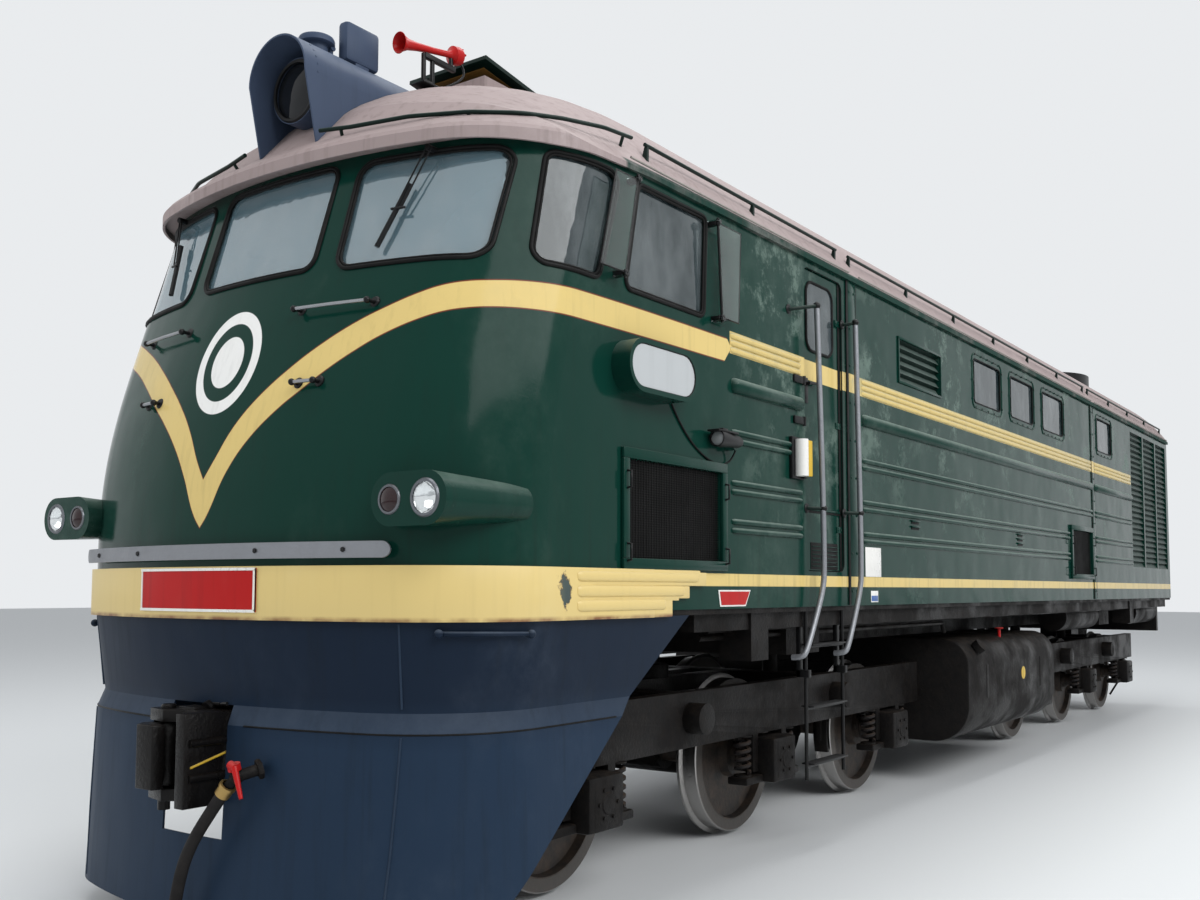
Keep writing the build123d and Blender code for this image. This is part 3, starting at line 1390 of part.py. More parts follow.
def bogie_frame(centre):
    """Side frames with pedestals, cross members, centre bowl and side bearers."""
    with BuildPart() as frame:
        for side in (1, -1):
            with Locations((side * frame_x, centre, (frame_top + frame_low) / 2)):
                Box(frame_t, 2 * frame_reach, frame_top - frame_low)
            for y in axle_places:
                for end in (1, -1):
                    with Locations((side * frame_x, centre + y + end * (box_w / 2 + pedestal_gap + 35),
                                    (frame_low + 450) / 2)):
                        Box(frame_t, 70, frame_low - 450)
        for y in (-frame_reach + 60, frame_reach - 60):
            with Locations((0, centre + y, 880)):
                Box(2 * frame_x, 100, 260)
        for y in (-axle_gap / 2, axle_gap / 2):
            with Locations((0, centre + y, 900)):
                Box(2 * frame_x, 200, 260)
        for x in (-180, 180):
            with Locations((x, centre, 975)):
                Box(120, axle_gap, 110)
        with Locations((0, centre, 1010)):
            Cylinder(bowl_r, 220)
        with Locations((0, centre, 1200)):
            Cylinder(bowl_pin_r + pin_gap, 2 * (1200 - sill_base + 182), mode=Mode.SUBTRACT)
        for x in (-550, 550):
            for y in (-axle_gap / 2, axle_gap / 2):
                with Locations((x, centre + y, (1030 + sill_base - touch) / 2)):
                    Cylinder(60, sill_base - touch - 1030)
    return frame.part


def axle_boxes(centre):
    """Six axle boxes with spring saddles, each bored for its journal."""
    with BuildPart() as boxes:
        for side in (1, -1):
            for y in axle_places:
                with Locations((side * 1100, centre + y, 525)):
                    Box(230, box_w - 2, 300)
                with Locations((side * 1050, centre + y, saddle_z - 26)):
                    Box(150, 2 * spring_y + 150, 52)
                with Locations((side * 1100, centre + y, wheel_r)):
                    Cylinder(journal_r + 0.1, 400, rotation=(0, 90, 0), mode=Mode.SUBTRACT)
                with Locations((side * 1222, centre + y, wheel_r)):
                    Cylinder(115, 16, rotation=(0, 90, 0))
    return boxes.part


def bogie_springs(centre):
    """Coil springs between the saddles and the side frames."""
    with BuildPart() as springs:
        for side in (1, -1):
            for y in axle_places:
                for end in (1, -1):
                    with Locations((side * 1050, centre + y + end * spring_y, (saddle_z + frame_low) / 2)):
                        Cylinder(spring_r, frame_low - saddle_z - 2 * touch)
    return springs.part


def traction_motors(centre):
    """Three motors, each hung on its axle and resting its nose on a cross member."""
    with BuildPart() as motors:
        for y, way, reach in ((-axle_gap, 1, -axle_gap / 2 - 100), (0, 1, axle_gap / 2 - 100),
                              (axle_gap, -1, axle_gap / 2 + 100)):
            body_y = centre + y + way * motor["y"]
            with Locations((0, body_y, motor["z"])):
                Cylinder(motor["r"], 2 * motor["half"], rotation=(0, 90, 0))
            with Locations((0, centre + y + way * 190, wheel_r)):
                Box(500, 380, 240)
            with Locations((0, centre + y, wheel_r)):
                Cylinder(150, 500, rotation=(0, 90, 0))
                Cylinder(axle_r + 6, 900, rotation=(0, 90, 0), mode=Mode.SUBTRACT)
            stop = centre + reach - way * touch
            with Locations((0, (body_y + stop) / 2, 820)):
                Box(220, abs(stop - body_y), 100)
    return motors.part


def brake_gear(centre):
    """Brake shoes on their hangers and two cylinders on the side frames."""
    with BuildPart() as gear:
        for side in (1, -1):
            for y, way in ((-axle_gap, 1), (0, 1), (axle_gap, -1)):
                shoe = centre + y + way * (wheel_r + 8)
                with BuildSketch(Plane.YZ.offset(side * 700)):
                    with Locations((centre + y, wheel_r)):
                        Circle(wheel_r + 62)
                        Circle(wheel_r + 34, mode=Mode.SUBTRACT)
                    with Locations((centre + y + way * 800, wheel_r)):
                        Rectangle(1000, 320, mode=Mode.INTERSECT)
                extrude(amount=side * 110)
                with Locations((side * 755, shoe + way * 62, 700)):
                    Box(40, 40, 480)
                bar_end = frame_x - frame_t / 2 - touch
                with Locations((side * (735 + bar_end) / 2, shoe + way * 62, 920)):
                    Box(bar_end - 735, 40, 40)
            for y in (-axle_gap / 2, axle_gap / 2):
                with Locations((side * (frame_x + frame_t / 2 + 60 + touch), centre + y, 880)):
                    Cylinder(95, 120, rotation=(0, 90, 0))
    return gear.part


def wheelset(y):
    """Two wheels pressed on a plain axle."""
    profile = [
        (656, axle_r + 0.1),
        (656, 150),
        (715, 160),
        (728, 430),
        (tyre_back, 440),
        (tyre_back, wheel_r + flange_h - 8),
        (tyre_back + 8, wheel_r + flange_h),
        (tyre_back + 24, wheel_r + flange_h),
        (tyre_back + 36, wheel_r),
        (tyre_back + tyre_w - 8, wheel_r),
        (tyre_back + tyre_w, wheel_r - 8),
        (tyre_back + tyre_w, 440),
        (762, 430),
        (770, 160),
        (836, 150),
        (836, axle_r + 0.1),
    ]
    with BuildPart() as pair:
        for side in (1, -1):
            with BuildSketch(Plane((0, y, wheel_r), x_dir=(side, 0, 0), z_dir=(0, -side, 0))):
                Polygon(*profile, align=None)
            revolve(axis=Axis((0, y, wheel_r), (1, 0, 0)))
        with Locations((0, y, wheel_r)):
            Cylinder(axle_r, 2 * 870, rotation=(0, 90, 0))
            Cylinder(journal_r, 2 * 1190, rotation=(0, 90, 0))
    return pair.part


for name, centre in (("front", -pivot_y), ("rear", pivot_y)):
    save(bogie_frame(centre), f"{name}_bogie_frame")
    save(Compound(children=[axle_boxes(centre), bogie_springs(centre)]), f"{name}_suspension")
    save(traction_motors(centre), f"{name}_motors")
    save(brake_gear(centre), f"{name}_brake_gear")
axle_row = [end * pivot_y + y for end in (-1, 1) for y in axle_places]
for number, y in enumerate(axle_row, 1):
    save(wheelset(y), f"wheelset_{number}")
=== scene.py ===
# %% [markdown]
# A six-axle diesel locomotive with a rounded green nose, cream stripes and a grey skirt.
# The solid model comes in as a fixed frame. Here it gets its paint, its rubber and glass,
# and the small fittings that are too fine for the solid model. Everything is in metres,
# the nose faces -Y, and the rail top is at Z = 0.

import bpy
import bmesh
from math import atan2, cos, pi, radians, sin, sqrt, tan
from mathutils import Matrix, Vector


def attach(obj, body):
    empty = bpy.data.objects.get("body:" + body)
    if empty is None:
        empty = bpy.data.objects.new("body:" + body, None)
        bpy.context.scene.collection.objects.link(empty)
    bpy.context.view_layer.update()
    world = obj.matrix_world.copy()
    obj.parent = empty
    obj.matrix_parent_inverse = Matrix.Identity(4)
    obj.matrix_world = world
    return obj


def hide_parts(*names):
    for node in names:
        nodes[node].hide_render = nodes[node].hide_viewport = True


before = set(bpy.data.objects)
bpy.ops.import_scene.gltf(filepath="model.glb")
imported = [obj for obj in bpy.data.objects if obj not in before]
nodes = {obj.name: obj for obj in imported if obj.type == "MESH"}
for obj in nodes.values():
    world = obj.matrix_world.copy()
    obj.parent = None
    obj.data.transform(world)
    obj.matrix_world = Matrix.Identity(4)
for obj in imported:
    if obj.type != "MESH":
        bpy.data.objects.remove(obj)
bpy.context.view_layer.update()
scene = bpy.context.scene


def link(name, data):
    """New object in the scene."""
    made = bpy.data.objects.new(name, data)
    scene.collection.objects.link(made)
    return made


# %% [markdown]
# The camera stands where the photographer stood: low, off the left front corner, looking
# slightly up. A small shift takes the place of tilting, so that uprights stay upright.

# %% Camera
HEADING, TILT, ROLL = radians(35.615), radians(94.0), radians(0.124)
camera = link("view", bpy.data.cameras.new("view"))
camera.location = (4.9343, -11.6716, 1.673)
facing = Matrix.Rotation(HEADING, 3, "Z") @ Matrix.Rotation(TILT, 3, "X") @ Matrix.Rotation(ROLL, 3, "Z")
camera.rotation_euler = facing.to_euler()
camera.data.lens = 35.53
camera.data.sensor_width = 36.0
camera.data.shift_y = 0.0467
camera.data.clip_end = 500
scene.camera = camera

# %% [markdown]
# Materials are built from small node helpers. `put` adds one node, and a `Value` is a
# socket to reckon with: `*` reads as "and", `|` as "or", and each sign adds a node, so that
# a mask reads almost like a formula.


# %% Node helpers
def wire(tree, source, target):
    """Join a socket or a value, or set a plain number or colour."""
    if isinstance(source, (int, float)):
        target.default_value = source
    elif isinstance(source, tuple):
        target.default_value = source if len(source) == len(target.default_value) else (*source, 1.0)
    else:
        tree.links.new(source.socket if isinstance(source, Value) else source, target)


def put(tree, kind, inputs, **settings):
    """One shader node with its settings and its inputs."""
    node = tree.nodes.new("ShaderNode" + kind)
    for label, setting in settings.items():
        setattr(node, label, setting)
    for label, source in inputs.items():
        wire(tree, source, node.inputs[label])
    return node


class Value:
    """A socket that signs and methods work on, each by one node."""

    def __init__(self, tree, socket):
        self.tree, self.socket = tree, socket

    def maths(self, operation, *others, clamp=False):
        """One Math node, with this value first."""
        inputs = dict(enumerate((self, *others)))
        return Value(self.tree, put(self.tree, "Math", inputs, operation=operation, use_clamp=clamp).outputs[0])

    def __add__(self, other):
        return self.maths("ADD", other)

    def __sub__(self, other):
        return self.maths("SUBTRACT", other)

    def __rsub__(self, other):
        return self.maths("MULTIPLY_ADD", -1.0, other)

    def __mul__(self, other):
        return self.maths("MULTIPLY", other)

    def __truediv__(self, other):
        return self.maths("DIVIDE", other)

    def __or__(self, other):
        return self.maths("MAXIMUM", other)

    def __abs__(self):
        return self.maths("ABSOLUTE")

    def length(self, other):
        """Length of the line whose two legs are these values."""
        return (self * self + other * other).maths("SQRT")

    def span(self, low, high, to_low=0.0, to_high=1.0):
        """Map low..high to to_low..to_high, clamped."""
        ends = {"From Min": low, "From Max": high, "To Min": to_low, "To Max": to_high}
        return Value(self.tree, put(self.tree, "MapRange", {"Value": self, **ends}).outputs["Result"])

    def between(self, low, high, soft=0.0015):
        """1 between low and high, with a soft edge."""
        return (self - low).span(-soft, soft) * (high - self).span(-soft, soft)

    def blend(self, first, second):
        """Colour from first, at 0, to second, at 1."""
        mix = put(self.tree, "Mix", {0: self, 6: first, 7: second}, data_type="RGBA", blend_type="MIX")
        return Value(self.tree, mix.outputs[2])


def coordinates(tree, kind="Object"):
    """The place on the piece, or its normal: whole, then as x, y and z."""
    whole = put(tree, "TexCoord", {}).outputs[kind]
    return [Value(tree, socket) for socket in (whole, *put(tree, "SeparateXYZ", {0: whole}).outputs)]


def noise(point, scale, detail=4.0, roughness=0.55, stretch=None):
    """Noise at a scale; stretch is a different factor on each axis."""
    tree = point.tree
    if stretch:
        point = put(tree, "Mapping", {"Scale": stretch, "Vector": point}).outputs["Vector"]
    inputs = {"Scale": scale, "Detail": detail, "Roughness": roughness, "Vector": point}
    return Value(tree, put(tree, "TexNoise", inputs).outputs["Fac"])


def socket_kind(colour):
    """The type of a group's socket, a colour or a number."""
    return "NodeSocketColor" if colour else "NodeSocketFloat"


def open_group(name, inputs):
    """New shader group; returns its tree and its inputs as values."""
    tree = bpy.data.node_groups.new(name, "ShaderNodeTree")
    for label, value in inputs.items():
        kind = socket_kind(isinstance(value, tuple))
        tree.interface.new_socket(label, in_out="INPUT", socket_type=kind).default_value = value
    return tree, {socket.name: Value(tree, socket) for socket in tree.nodes.new("NodeGroupInput").outputs}


def close_group(tree, outputs):
    """Name a group's outputs and join them."""
    for label in outputs:
        tree.interface.new_socket(label, in_out="OUTPUT", socket_type=socket_kind(label == "Colour"))
    end = tree.nodes.new("NodeGroupOutput")
    for label, value in outputs.items():
        wire(tree, value, end.inputs[label])


def use_group(tree, group, inputs):
    """Put a group in a tree; returns its outputs as values."""
    return {socket.name: Value(tree, socket) for socket in put(tree, "Group", inputs, node_tree=group).outputs}


def base_material(name):
    """New material, its node tree and its shader."""
    material = bpy.data.materials.new(name)
    material.use_nodes = True
    return material, material.node_tree, material.node_tree.nodes["Principled BSDF"]


def shade(shader, height, distance, inputs):
    """Join values to a shader, and a height to its normal."""
    tree = shader.id_data
    bump = put(tree, "Bump", {"Strength": 1.0, "Distance": distance, "Height": height})
    for label, source in {**inputs, "Normal": bump.outputs["Normal"]}.items():
        wire(tree, source, shader.inputs[label])


# %% [markdown]
# A studio stands in for the hall: a pale floor, an even pale surround, one broad soft
# light high on the camera's side and a weaker one from the nose. The surround shows as
# a pale colour to the camera and in reflections, but lights the paint more gently.

# %% Floor, surround and lights
scene.view_settings.view_transform = "Standard"
FLOOR_Z = -0.0285

scene.world = bpy.data.worlds.new("surround")
scene.world.use_nodes = True
tree = scene.world.node_tree
tree.nodes.clear()
ray = put(tree, "LightPath", {}).outputs
seen = Value(tree, ray["Is Camera Ray"]) | ray["Is Glossy Ray"]
lit = put(tree, "Background", {"Color": (0.93, 0.96, 1.0), "Strength": 0.45})
shown = put(tree, "Background", {"Color": (0.86, 0.88, 0.90), "Strength": 0.95})
either = put(tree, "MixShader", {0: seen, 1: lit.outputs[0], 2: shown.outputs[0]})
put(tree, "OutputWorld", {"Surface": either.outputs[0]})


def area_light(name, place, target, size, power):
    """Rectangular soft light looking at a point."""
    data = bpy.data.lights.new(name, "AREA")
    data.shape = "RECTANGLE"
    data.size, data.size_y = size
    data.energy = power
    lamp = link(name, data)
    lamp.location = place
    lamp.rotation_euler = (Vector(target) - Vector(place)).to_track_quat("-Z", "Y").to_euler()
    return lamp


area_light("key", (16, -6, 13), (0, -1, 2), (22, 10), 3000)
area_light("front", (-7, -20, 9), (0, -7, 2), (10, 8), 800).visible_glossy = False
area_light("top", (0, 0, 17), (0, 0, 3), (8, 24), 1700)

floor_bm = bmesh.new()
level = Matrix.Translation((0, 0, FLOOR_Z))
bmesh.ops.create_grid(floor_bm, x_segments=1, y_segments=1, size=90, matrix=level)
floor = link("floor", bpy.data.meshes.new("floor"))
floor_bm.to_mesh(floor.data)
floor_bm.free()
pale_floor, tree, shader = base_material("pale_floor")
shader.inputs["Base Color"].default_value = (0.70, 0.72, 0.73, 1)
shader.inputs["Roughness"].default_value = 0.55
floor.data.materials.append(pale_floor)

# %% [markdown]
# Old gloss paint never has one colour. Dust hangs on it in pale clouds, water draws
# vertical streaks down it, and it lies thick on whatever faces up; on the beads and the
# louvres these pale upper faces are partly dust and partly a painted highlight. Behind
# the cab the paint is paler towards the top, partly dust and scuffs and partly a painted
# reflection. One group, used by every painted finish, mixes those into the base colour and
# also gives the roughness and a height for the bump, so that the plates look slightly wavy
# as hand-beaten steel does.

# %% Weathered paint group
weather, given = open_group("weathered_paint", {
    "Colour": (0.1, 0.2, 0.15, 1), "Dust": (0.5, 0.55, 0.52, 1), "Dirt": (0.02, 0.02, 0.018, 1),
    "Dust amount": 0.3, "Dirt amount": 0.4, "Base roughness": 0.3, "Lying dust and highlight": 0.5, "Lying from": 0.32,
    "Scuffs and reflection": 0.0,
})
point, x, y, z = coordinates(weather)
facing_up = coordinates(weather, "Normal")[3]
cloud = noise(point, 1.1, 6, 0.62, (1.0, 1.0, 0.55)).span(0.50, 0.74)
fine_cloud = noise(point, 7.0, 6, 0.7).span(0.35, 0.75)
streak = noise(point, 3.2, 5, 0.6, (6.0, 6.0, 0.35)).span(0.52, 0.78)
dirt_mask = streak * z.span(1.55, 2.3, 1.0, 0.35) * given["Dirt amount"]
# Pale on upward faces: dust, and on the beads and louvres also a painted highlight.
lying = facing_up.span(given["Lying from"], 0.85) * fine_cloud.span(0.0, 1.0, 0.55, 1.0) * given["Lying dust and highlight"]
# Pale patches behind the cab, paler towards the top: partly dust and scuffs, partly a painted reflection.
scuff_and_reflection = noise(point, 3.4, 9, 0.74).span(0.50, 0.62) * noise(point, 1.3, 3, 0.5).span(0.42, 0.60)
scuff_and_reflection = scuff_and_reflection * y.span(-5.95, -5.4) * z.span(1.8, 3.3, 0.25, 1.0) * given["Scuffs and reflection"]
dust_mask = cloud * fine_cloud * given["Dust amount"] | lying | scuff_and_reflection
dusted = dust_mask.blend(given["Colour"], given["Dust"])
rough = given["Base roughness"] + dust_mask * 0.45
close_group(weather, {
    "Colour": dirt_mask.blend(dusted, given["Dirt"]),
    "Roughness": rough.maths("ADD", dirt_mask * 0.30, clamp=True),
    "Height": noise(point, 1.6, 2, 0.4) + noise(point, 90.0, 2, 0.5) * 0.012,
})

# %% [markdown]
# The stripes are painted, not built. On the nose a cream V rises from a point on the
# centre line, sweeps under the windows and runs back along the side; behind it a level
# stripe lies on three raised beads, and a thin one runs along the bottom edge. All of it
# is a mask from the place on the body. Seen from above, the turn about a point inside
# the cab grows steadily from the nose's centre to the side, so two curves can give the
# V's upper and lower edge for each turn. A ring and a disc stand on the nose's centre.

# %% Stripe group
STRIPE_UPPER = [
    (0, 2.200), (1.5, 2.291), (4.1, 2.457), (7, 2.585), (11.1, 2.720), (15, 2.826), (19.3, 2.922), (23.2, 2.990),
    (26.9, 3.045), (29.9, 3.080), (32.4, 3.096), (35, 3.104), (38, 3.112), (45, 3.124), (58, 3.134), (90, 3.138)]
STRIPE_LOWER = [
    (0, 1.966), (1.0, 2.016), (3.9, 2.236), (6.7, 2.385), (10.5, 2.525), (13.6, 2.615), (15.8, 2.680), (19.9, 2.784),
    (23, 2.850), (27.2, 2.916), (30.1, 2.950), (32.5, 2.966), (35, 2.975), (40, 2.983), (50, 2.993), (90, 3.006)]
STRIPE_LOW, STRIPE_HIGH = 1.9, 3.2
TURN_Y, VEE_END, VEE_TIP_Z = -5.6, -5.61, 3.09
LEVEL_Z, LEVEL_Y, BASE_Z, BASE_Y = (3.060, 3.192), (-5.625, 5.15), (1.690, 1.762), (-7.4, 7.8)
DISC_Z, DISC_HALF_WIDTH, DISC_HALF_HEIGHT = 2.80, 0.235, 0.27


def edge_curve(turn, points):
    """Height of one stripe edge for each turn about the cab, in metres."""
    node = put(turn.tree, "FloatCurve", {})
    line = node.mapping.curves[0].points
    places = [(angle / 90, (z - STRIPE_LOW) / (STRIPE_HIGH - STRIPE_LOW)) for angle, z in points]
    for place in places[1:-1]:
        line.new(*place)
    line[0].location, line[-1].location = places[0], places[-1]
    for point in line:
        point.handle_type = "AUTO_CLAMPED"
    node.mapping.update()
    wire(turn.tree, turn, node.inputs["Value"])
    return Value(turn.tree, node.outputs[0]).span(0.0, 1.0, STRIPE_LOW, STRIPE_HIGH)


stripes, given = open_group("stripes", {})
point, x, y, z = coordinates(stripes)
turn = abs(x).maths("ARCTAN2", TURN_Y - y).maths("DIVIDE", pi / 2, clamp=True)
upper, lower = edge_curve(turn, STRIPE_UPPER), edge_curve(turn, STRIPE_LOWER)
in_front = (VEE_END - abs(z - VEE_TIP_Z) * 0.9 - y).span(-0.002, 0.002)
rim = (z - lower).between(-0.006, 0.004) | (z - upper).between(-0.004, 0.006)
disc = (x / DISC_HALF_WIDTH).length((z - DISC_Z) / DISC_HALF_HEIGHT)
close_group(stripes, {
    "Cream": (z.between(lower, upper) * in_front | z.between(*LEVEL_Z) * y.between(*LEVEL_Y)
              | z.between(*BASE_Z) * y.between(*BASE_Y)),
    "Edge": rim * in_front,
    "White": (disc.between(0.76, 1.0, 0.006) | disc.between(-1.0, 0.50, 0.006)) * y.span(-7.5, -7.6),
})

# %% [markdown]
# A finish is one Principled shader with the paint group before it. The same function
# makes green, grey, cream and red paint, each with its own dust, dirt and gloss.

# %% Paint finishes
CREAM = (0.67, 0.51, 0.195)
GREEN = (0.0034, 0.0315, 0.0225)
RIM_BROWN, DISC_WHITE = (0.16, 0.035, 0.02), (0.80, 0.80, 0.78)
PAINTED_SHADE_LOW, PAINTED_SHADE_HIGH, HEM_Z, HEM_FRONT = 0.95, 1.18, 3.905, -6.75


def paint(name, colour, dust=(0.17, 0.235, 0.20), dirt=(0.010, 0.012, 0.010), dusty=0.3, dirty=0.4, rough=0.3,
          gloss=0.3, swell=0.02, lying=0.5, lying_from=0.32, scuffs_and_reflection=0.0, striped=False, hem=None, below_painted_shade=None):
    """Weathered paint. A hem is the side's colour below the roof, and below_painted_shade is the colour at the foot;
    above it the colour is darker, as painted shade.
    """
    material, tree, shader = base_material(name)
    source = colour
    if below_painted_shade or hem:
        point, x, y, z = coordinates(tree)
    # Darker above the foot: painted shade.
    if below_painted_shade:
        source = z.span(PAINTED_SHADE_LOW, PAINTED_SHADE_HIGH).blend(below_painted_shade, colour)
    if hem:
        source = (z.span(HEM_Z + 0.004, HEM_Z) * y.span(HEM_FRONT, HEM_FRONT + 0.03)).blend(source, hem)
    if striped:
        mask = use_group(tree, stripes, {})
        for label, stripe in (("Edge", RIM_BROWN), ("Cream", CREAM), ("White", DISC_WHITE)):
            source = mask[label].blend(source, stripe)
    made = use_group(tree, weather, {
        "Colour": source, "Dust": dust, "Dirt": dirt, "Dust amount": dusty, "Dirt amount": dirty,
        "Base roughness": rough, "Lying dust and highlight": lying, "Lying from": lying_from, "Scuffs and reflection": scuffs_and_reflection,
    })
    shade(shader, made["Height"], swell, {
        "Base Color": made["Colour"], "Roughness": made["Roughness"], "Specular IOR Level": gloss})
    return material


# The body green carries the pale patches behind the cab, partly a painted reflection.
green_paint = paint("green_body_paint", GREEN, dusty=0.20, rough=0.12, striped=True, gloss=0.10, swell=0.016,
                    lying=0.55, scuffs_and_reflection=0.62)
# On the beads the pale dust reaches almost every face that looks up, so the upper half of each bead is paler: partly
# dust, partly a painted highlight.
bead_dust_and_highlight_paint = paint("green_bead_dust_and_highlight_paint", GREEN, (0.26, 0.33, 0.29), dusty=0.25, rough=0.2, striped=True, gloss=0.12,
                   lying=0.85, lying_from=0.02)
plain_green = paint("green_fitting_paint", GREEN, rough=0.22, gloss=0.12, lying=0.6)
dark_green = paint("dark_green_paint", (0.003, 0.012, 0.009), dusty=0.15, gloss=0.15, lying=0.3)
# The louvre's darker green is painted shade among its slats; the pale slat tops are partly dust and partly a painted
# highlight.
shutter_paint = paint("shutter_paint", (0.0022, 0.013, 0.0095), (0.20, 0.26, 0.235), dusty=0.2, rough=0.35,
                      gloss=0.1, lying=0.9)
brown_paint = paint("brown_lining_paint", (0.16, 0.085, 0.022), (0.22, 0.15, 0.07), rough=0.5, gloss=0.1, lying=0.2)
roof_paint = paint("dusty_roof_paint", (0.31, 0.250, 0.245), (0.56, 0.49, 0.48), (0.08, 0.06, 0.055), dusty=0.70,
                   dirty=1.0, rough=0.62, gloss=0.12, hem=GREEN, lying=0.0)
roof_gutter = paint("gutter_paint", (0.26, 0.24, 0.22), (0.45, 0.42, 0.38), dirty=0.8, rough=0.5, gloss=0.1)
# The skirt is painted darker above its ledge as shade, and paler at its foot.
skirt_paint = paint("blue_grey_paint", (0.0095, 0.0172, 0.0325), (0.10, 0.125, 0.165), dirty=0.25, rough=0.36,
                    gloss=0.06, lying=0.9, lying_from=0.07, below_painted_shade=(0.0165, 0.0315, 0.0580))
hood_paint = paint("hood_paint", (0.050, 0.070, 0.115), (0.20, 0.24, 0.31), dusty=0.4, rough=0.4, gloss=0.1)
weld_paint = paint("weld_paint", (0.020, 0.034, 0.058), (0.10, 0.12, 0.15), dusty=0.5, rough=0.4, gloss=0.1)
cab_paint = paint("cab_inside_paint", (0.20, 0.27, 0.22), dusty=0.2, rough=0.5)
machine_paint = paint("machine_paint", (0.16, 0.18, 0.18), dusty=0.4, dirty=0.8, rough=0.5)
red_paint = paint("red_paint", (0.42, 0.010, 0.010), (0.5, 0.2, 0.18), dusty=0.25, dirty=0.3, rough=0.28,
                  gloss=0.15, lying=0.3)
black_paint = paint("black_paint", (0.0065, 0.0065, 0.007), (0.06, 0.06, 0.06), dusty=0.4, rough=0.35, gloss=0.2)
blue_enamel = paint("blue_enamel", (0.05, 0.12, 0.34), (0.3, 0.35, 0.4), dusty=0.2)
pane_enamel = paint("lit_pane_enamel", (0.44, 0.46, 0.47), (0.35, 0.36, 0.36), dusty=0.4, dirty=0.2, rough=0.22)
white_enamel = paint("white_enamel", (0.78, 0.77, 0.74), (0.6, 0.6, 0.58), dusty=0.4, dirty=0.15, rough=0.25)
yellow_paint = paint("yellow_paint", (0.62, 0.40, 0.03), (0.5, 0.42, 0.2), dusty=0.4, rough=0.35)

# %% [markdown]
# The cream band round the nose has one flaked patch, on the side that the photograph
# shows, where the old green comes through, and a rusty line along its lower edge. The
# patch is a distorted oval: noise is added to the distance from its centre.

# %% Cream band with its flaked patch
FLAKE_Y, FLAKE_Z = -7.245, 1.672
cream_paint, tree, shader = base_material("cream_band_paint")
point, x, y, z = coordinates(tree)
from_y = (y - FLAKE_Y) / z.span(1.56, 1.74, 0.024, 0.070)
from_z = (z - FLAKE_Z) / 0.090
oval = (from_y + from_z * 0.30).length(from_z) + (noise(point, 13.0, 6, 0.72) - 0.5) * 2.6
left_side = x.span(1.0, 1.1)
flake = oval.span(0.84, 0.78) * left_side
rusty = z.span(1.548, 1.532) * noise(point, 5.0, 5).span(0.35, 0.6)
colour = (oval.span(1.0, 0.8) * left_side).blend(CREAM, (0.16, 0.09, 0.04))
colour = rusty.blend(flake.blend(colour, (0.035, 0.055, 0.05)), (0.20, 0.075, 0.02))
made = use_group(tree, weather, {
    "Colour": colour, "Dust": (0.70, 0.59, 0.31), "Dirt": (0.25, 0.17, 0.06), "Dust amount": 0.5,
    "Dirt amount": 0.10, "Base roughness": 0.36,
})
shade(shader, made["Height"] - flake * 0.3, 0.01, {"Base Color": made["Colour"], "Roughness": made["Roughness"]})

# %% [markdown]
# Below the floor everything is black iron under years of oil and brake dust. Its near-black
# colour is partly the iron's own and partly painted shade under the body. Brown dust lies
# on what faces up, and there is a greasy shine in places. Facing up is read
# from the surface normal, in object space, so it stays put when a bogie turns.


# %% Iron, steel and brass
def iron(name, colour, dust, rough_low, rough_high, metallic=0.0, dusty=0.6, grain=0.004, gloss=0.11):
    """Cast or rolled iron with dust on its upward faces and greasy patches."""
    material, tree, shader = base_material(name)
    point = coordinates(tree)[0]
    upward = coordinates(tree, "Normal")[3].span(0.2, 0.95)
    lying = (upward * 0.8 + 0.25) * noise(point, 14.0, 6, 0.65).span(0.38, 0.68) * dusty
    shade(shader, noise(point, 45.0, 4, 0.6), grain, {
        "Base Color": lying.blend(colour, dust), "Metallic": metallic,
        "Roughness": noise(point, 2.3, 4, 0.6).span(0.42, 0.64, rough_low, rough_high),
        "Specular IOR Level": 0.5 if metallic else gloss,
    })
    return material


# Near-black: partly the iron's own colour, partly painted shade under the body.
black_iron = iron("black_iron", (0.0065, 0.006, 0.006), (0.034, 0.026, 0.020), 0.35, 0.75)
oily_iron = iron("oily_iron", (0.005, 0.0045, 0.0045), (0.020, 0.014, 0.010), 0.2, 0.5, 0.0, 0.30, 0.0035, 0.16)
spring_steel = iron("spring_steel", (0.016, 0.015, 0.016), (0.10, 0.07, 0.05), 0.35, 0.6)
bright_steel = iron("worn_bright_steel", (0.34, 0.35, 0.37), (0.16, 0.12, 0.09), 0.28, 0.5, 0.9, 0.35, 0.001)
bar_steel = iron("dull_bar_steel", (0.15, 0.16, 0.175), (0.09, 0.07, 0.06), 0.34, 0.55, 0.75, 0.4, 0.002)
rail_steel = iron("grey_rail_steel", (0.25, 0.26, 0.28), (0.13, 0.11, 0.10), 0.34, 0.55, 0.6, 0.4, 0.002)
brass = iron("old_brass", (0.42, 0.28, 0.10), (0.12, 0.09, 0.06), 0.3, 0.5, 0.9, 0.3, 0.001)
rubber = iron("window_rubber", (0.006, 0.006, 0.006), (0.030, 0.028, 0.026), 0.4, 0.65, 0.0, 0.35, 0.001)
hose_rubber = iron("hose_rubber", (0.015, 0.014, 0.014), (0.07, 0.06, 0.055), 0.5, 0.75, 0.0, 0.5, 0.002)

# %% [markdown]
# A wheel shines only where it meets the rail. The shader takes the distance from the
# axle's line, which is different for each of the six, so the axle's place along Y comes
# in as a number.

# %% Wheel finish
AXLE_Z = 0.525
BOGIES = {"front": -4.3, "rear": 4.3}
AXLES = {name: (middle - 2.1, middle, middle + 2.1) for name, middle in BOGIES.items()}


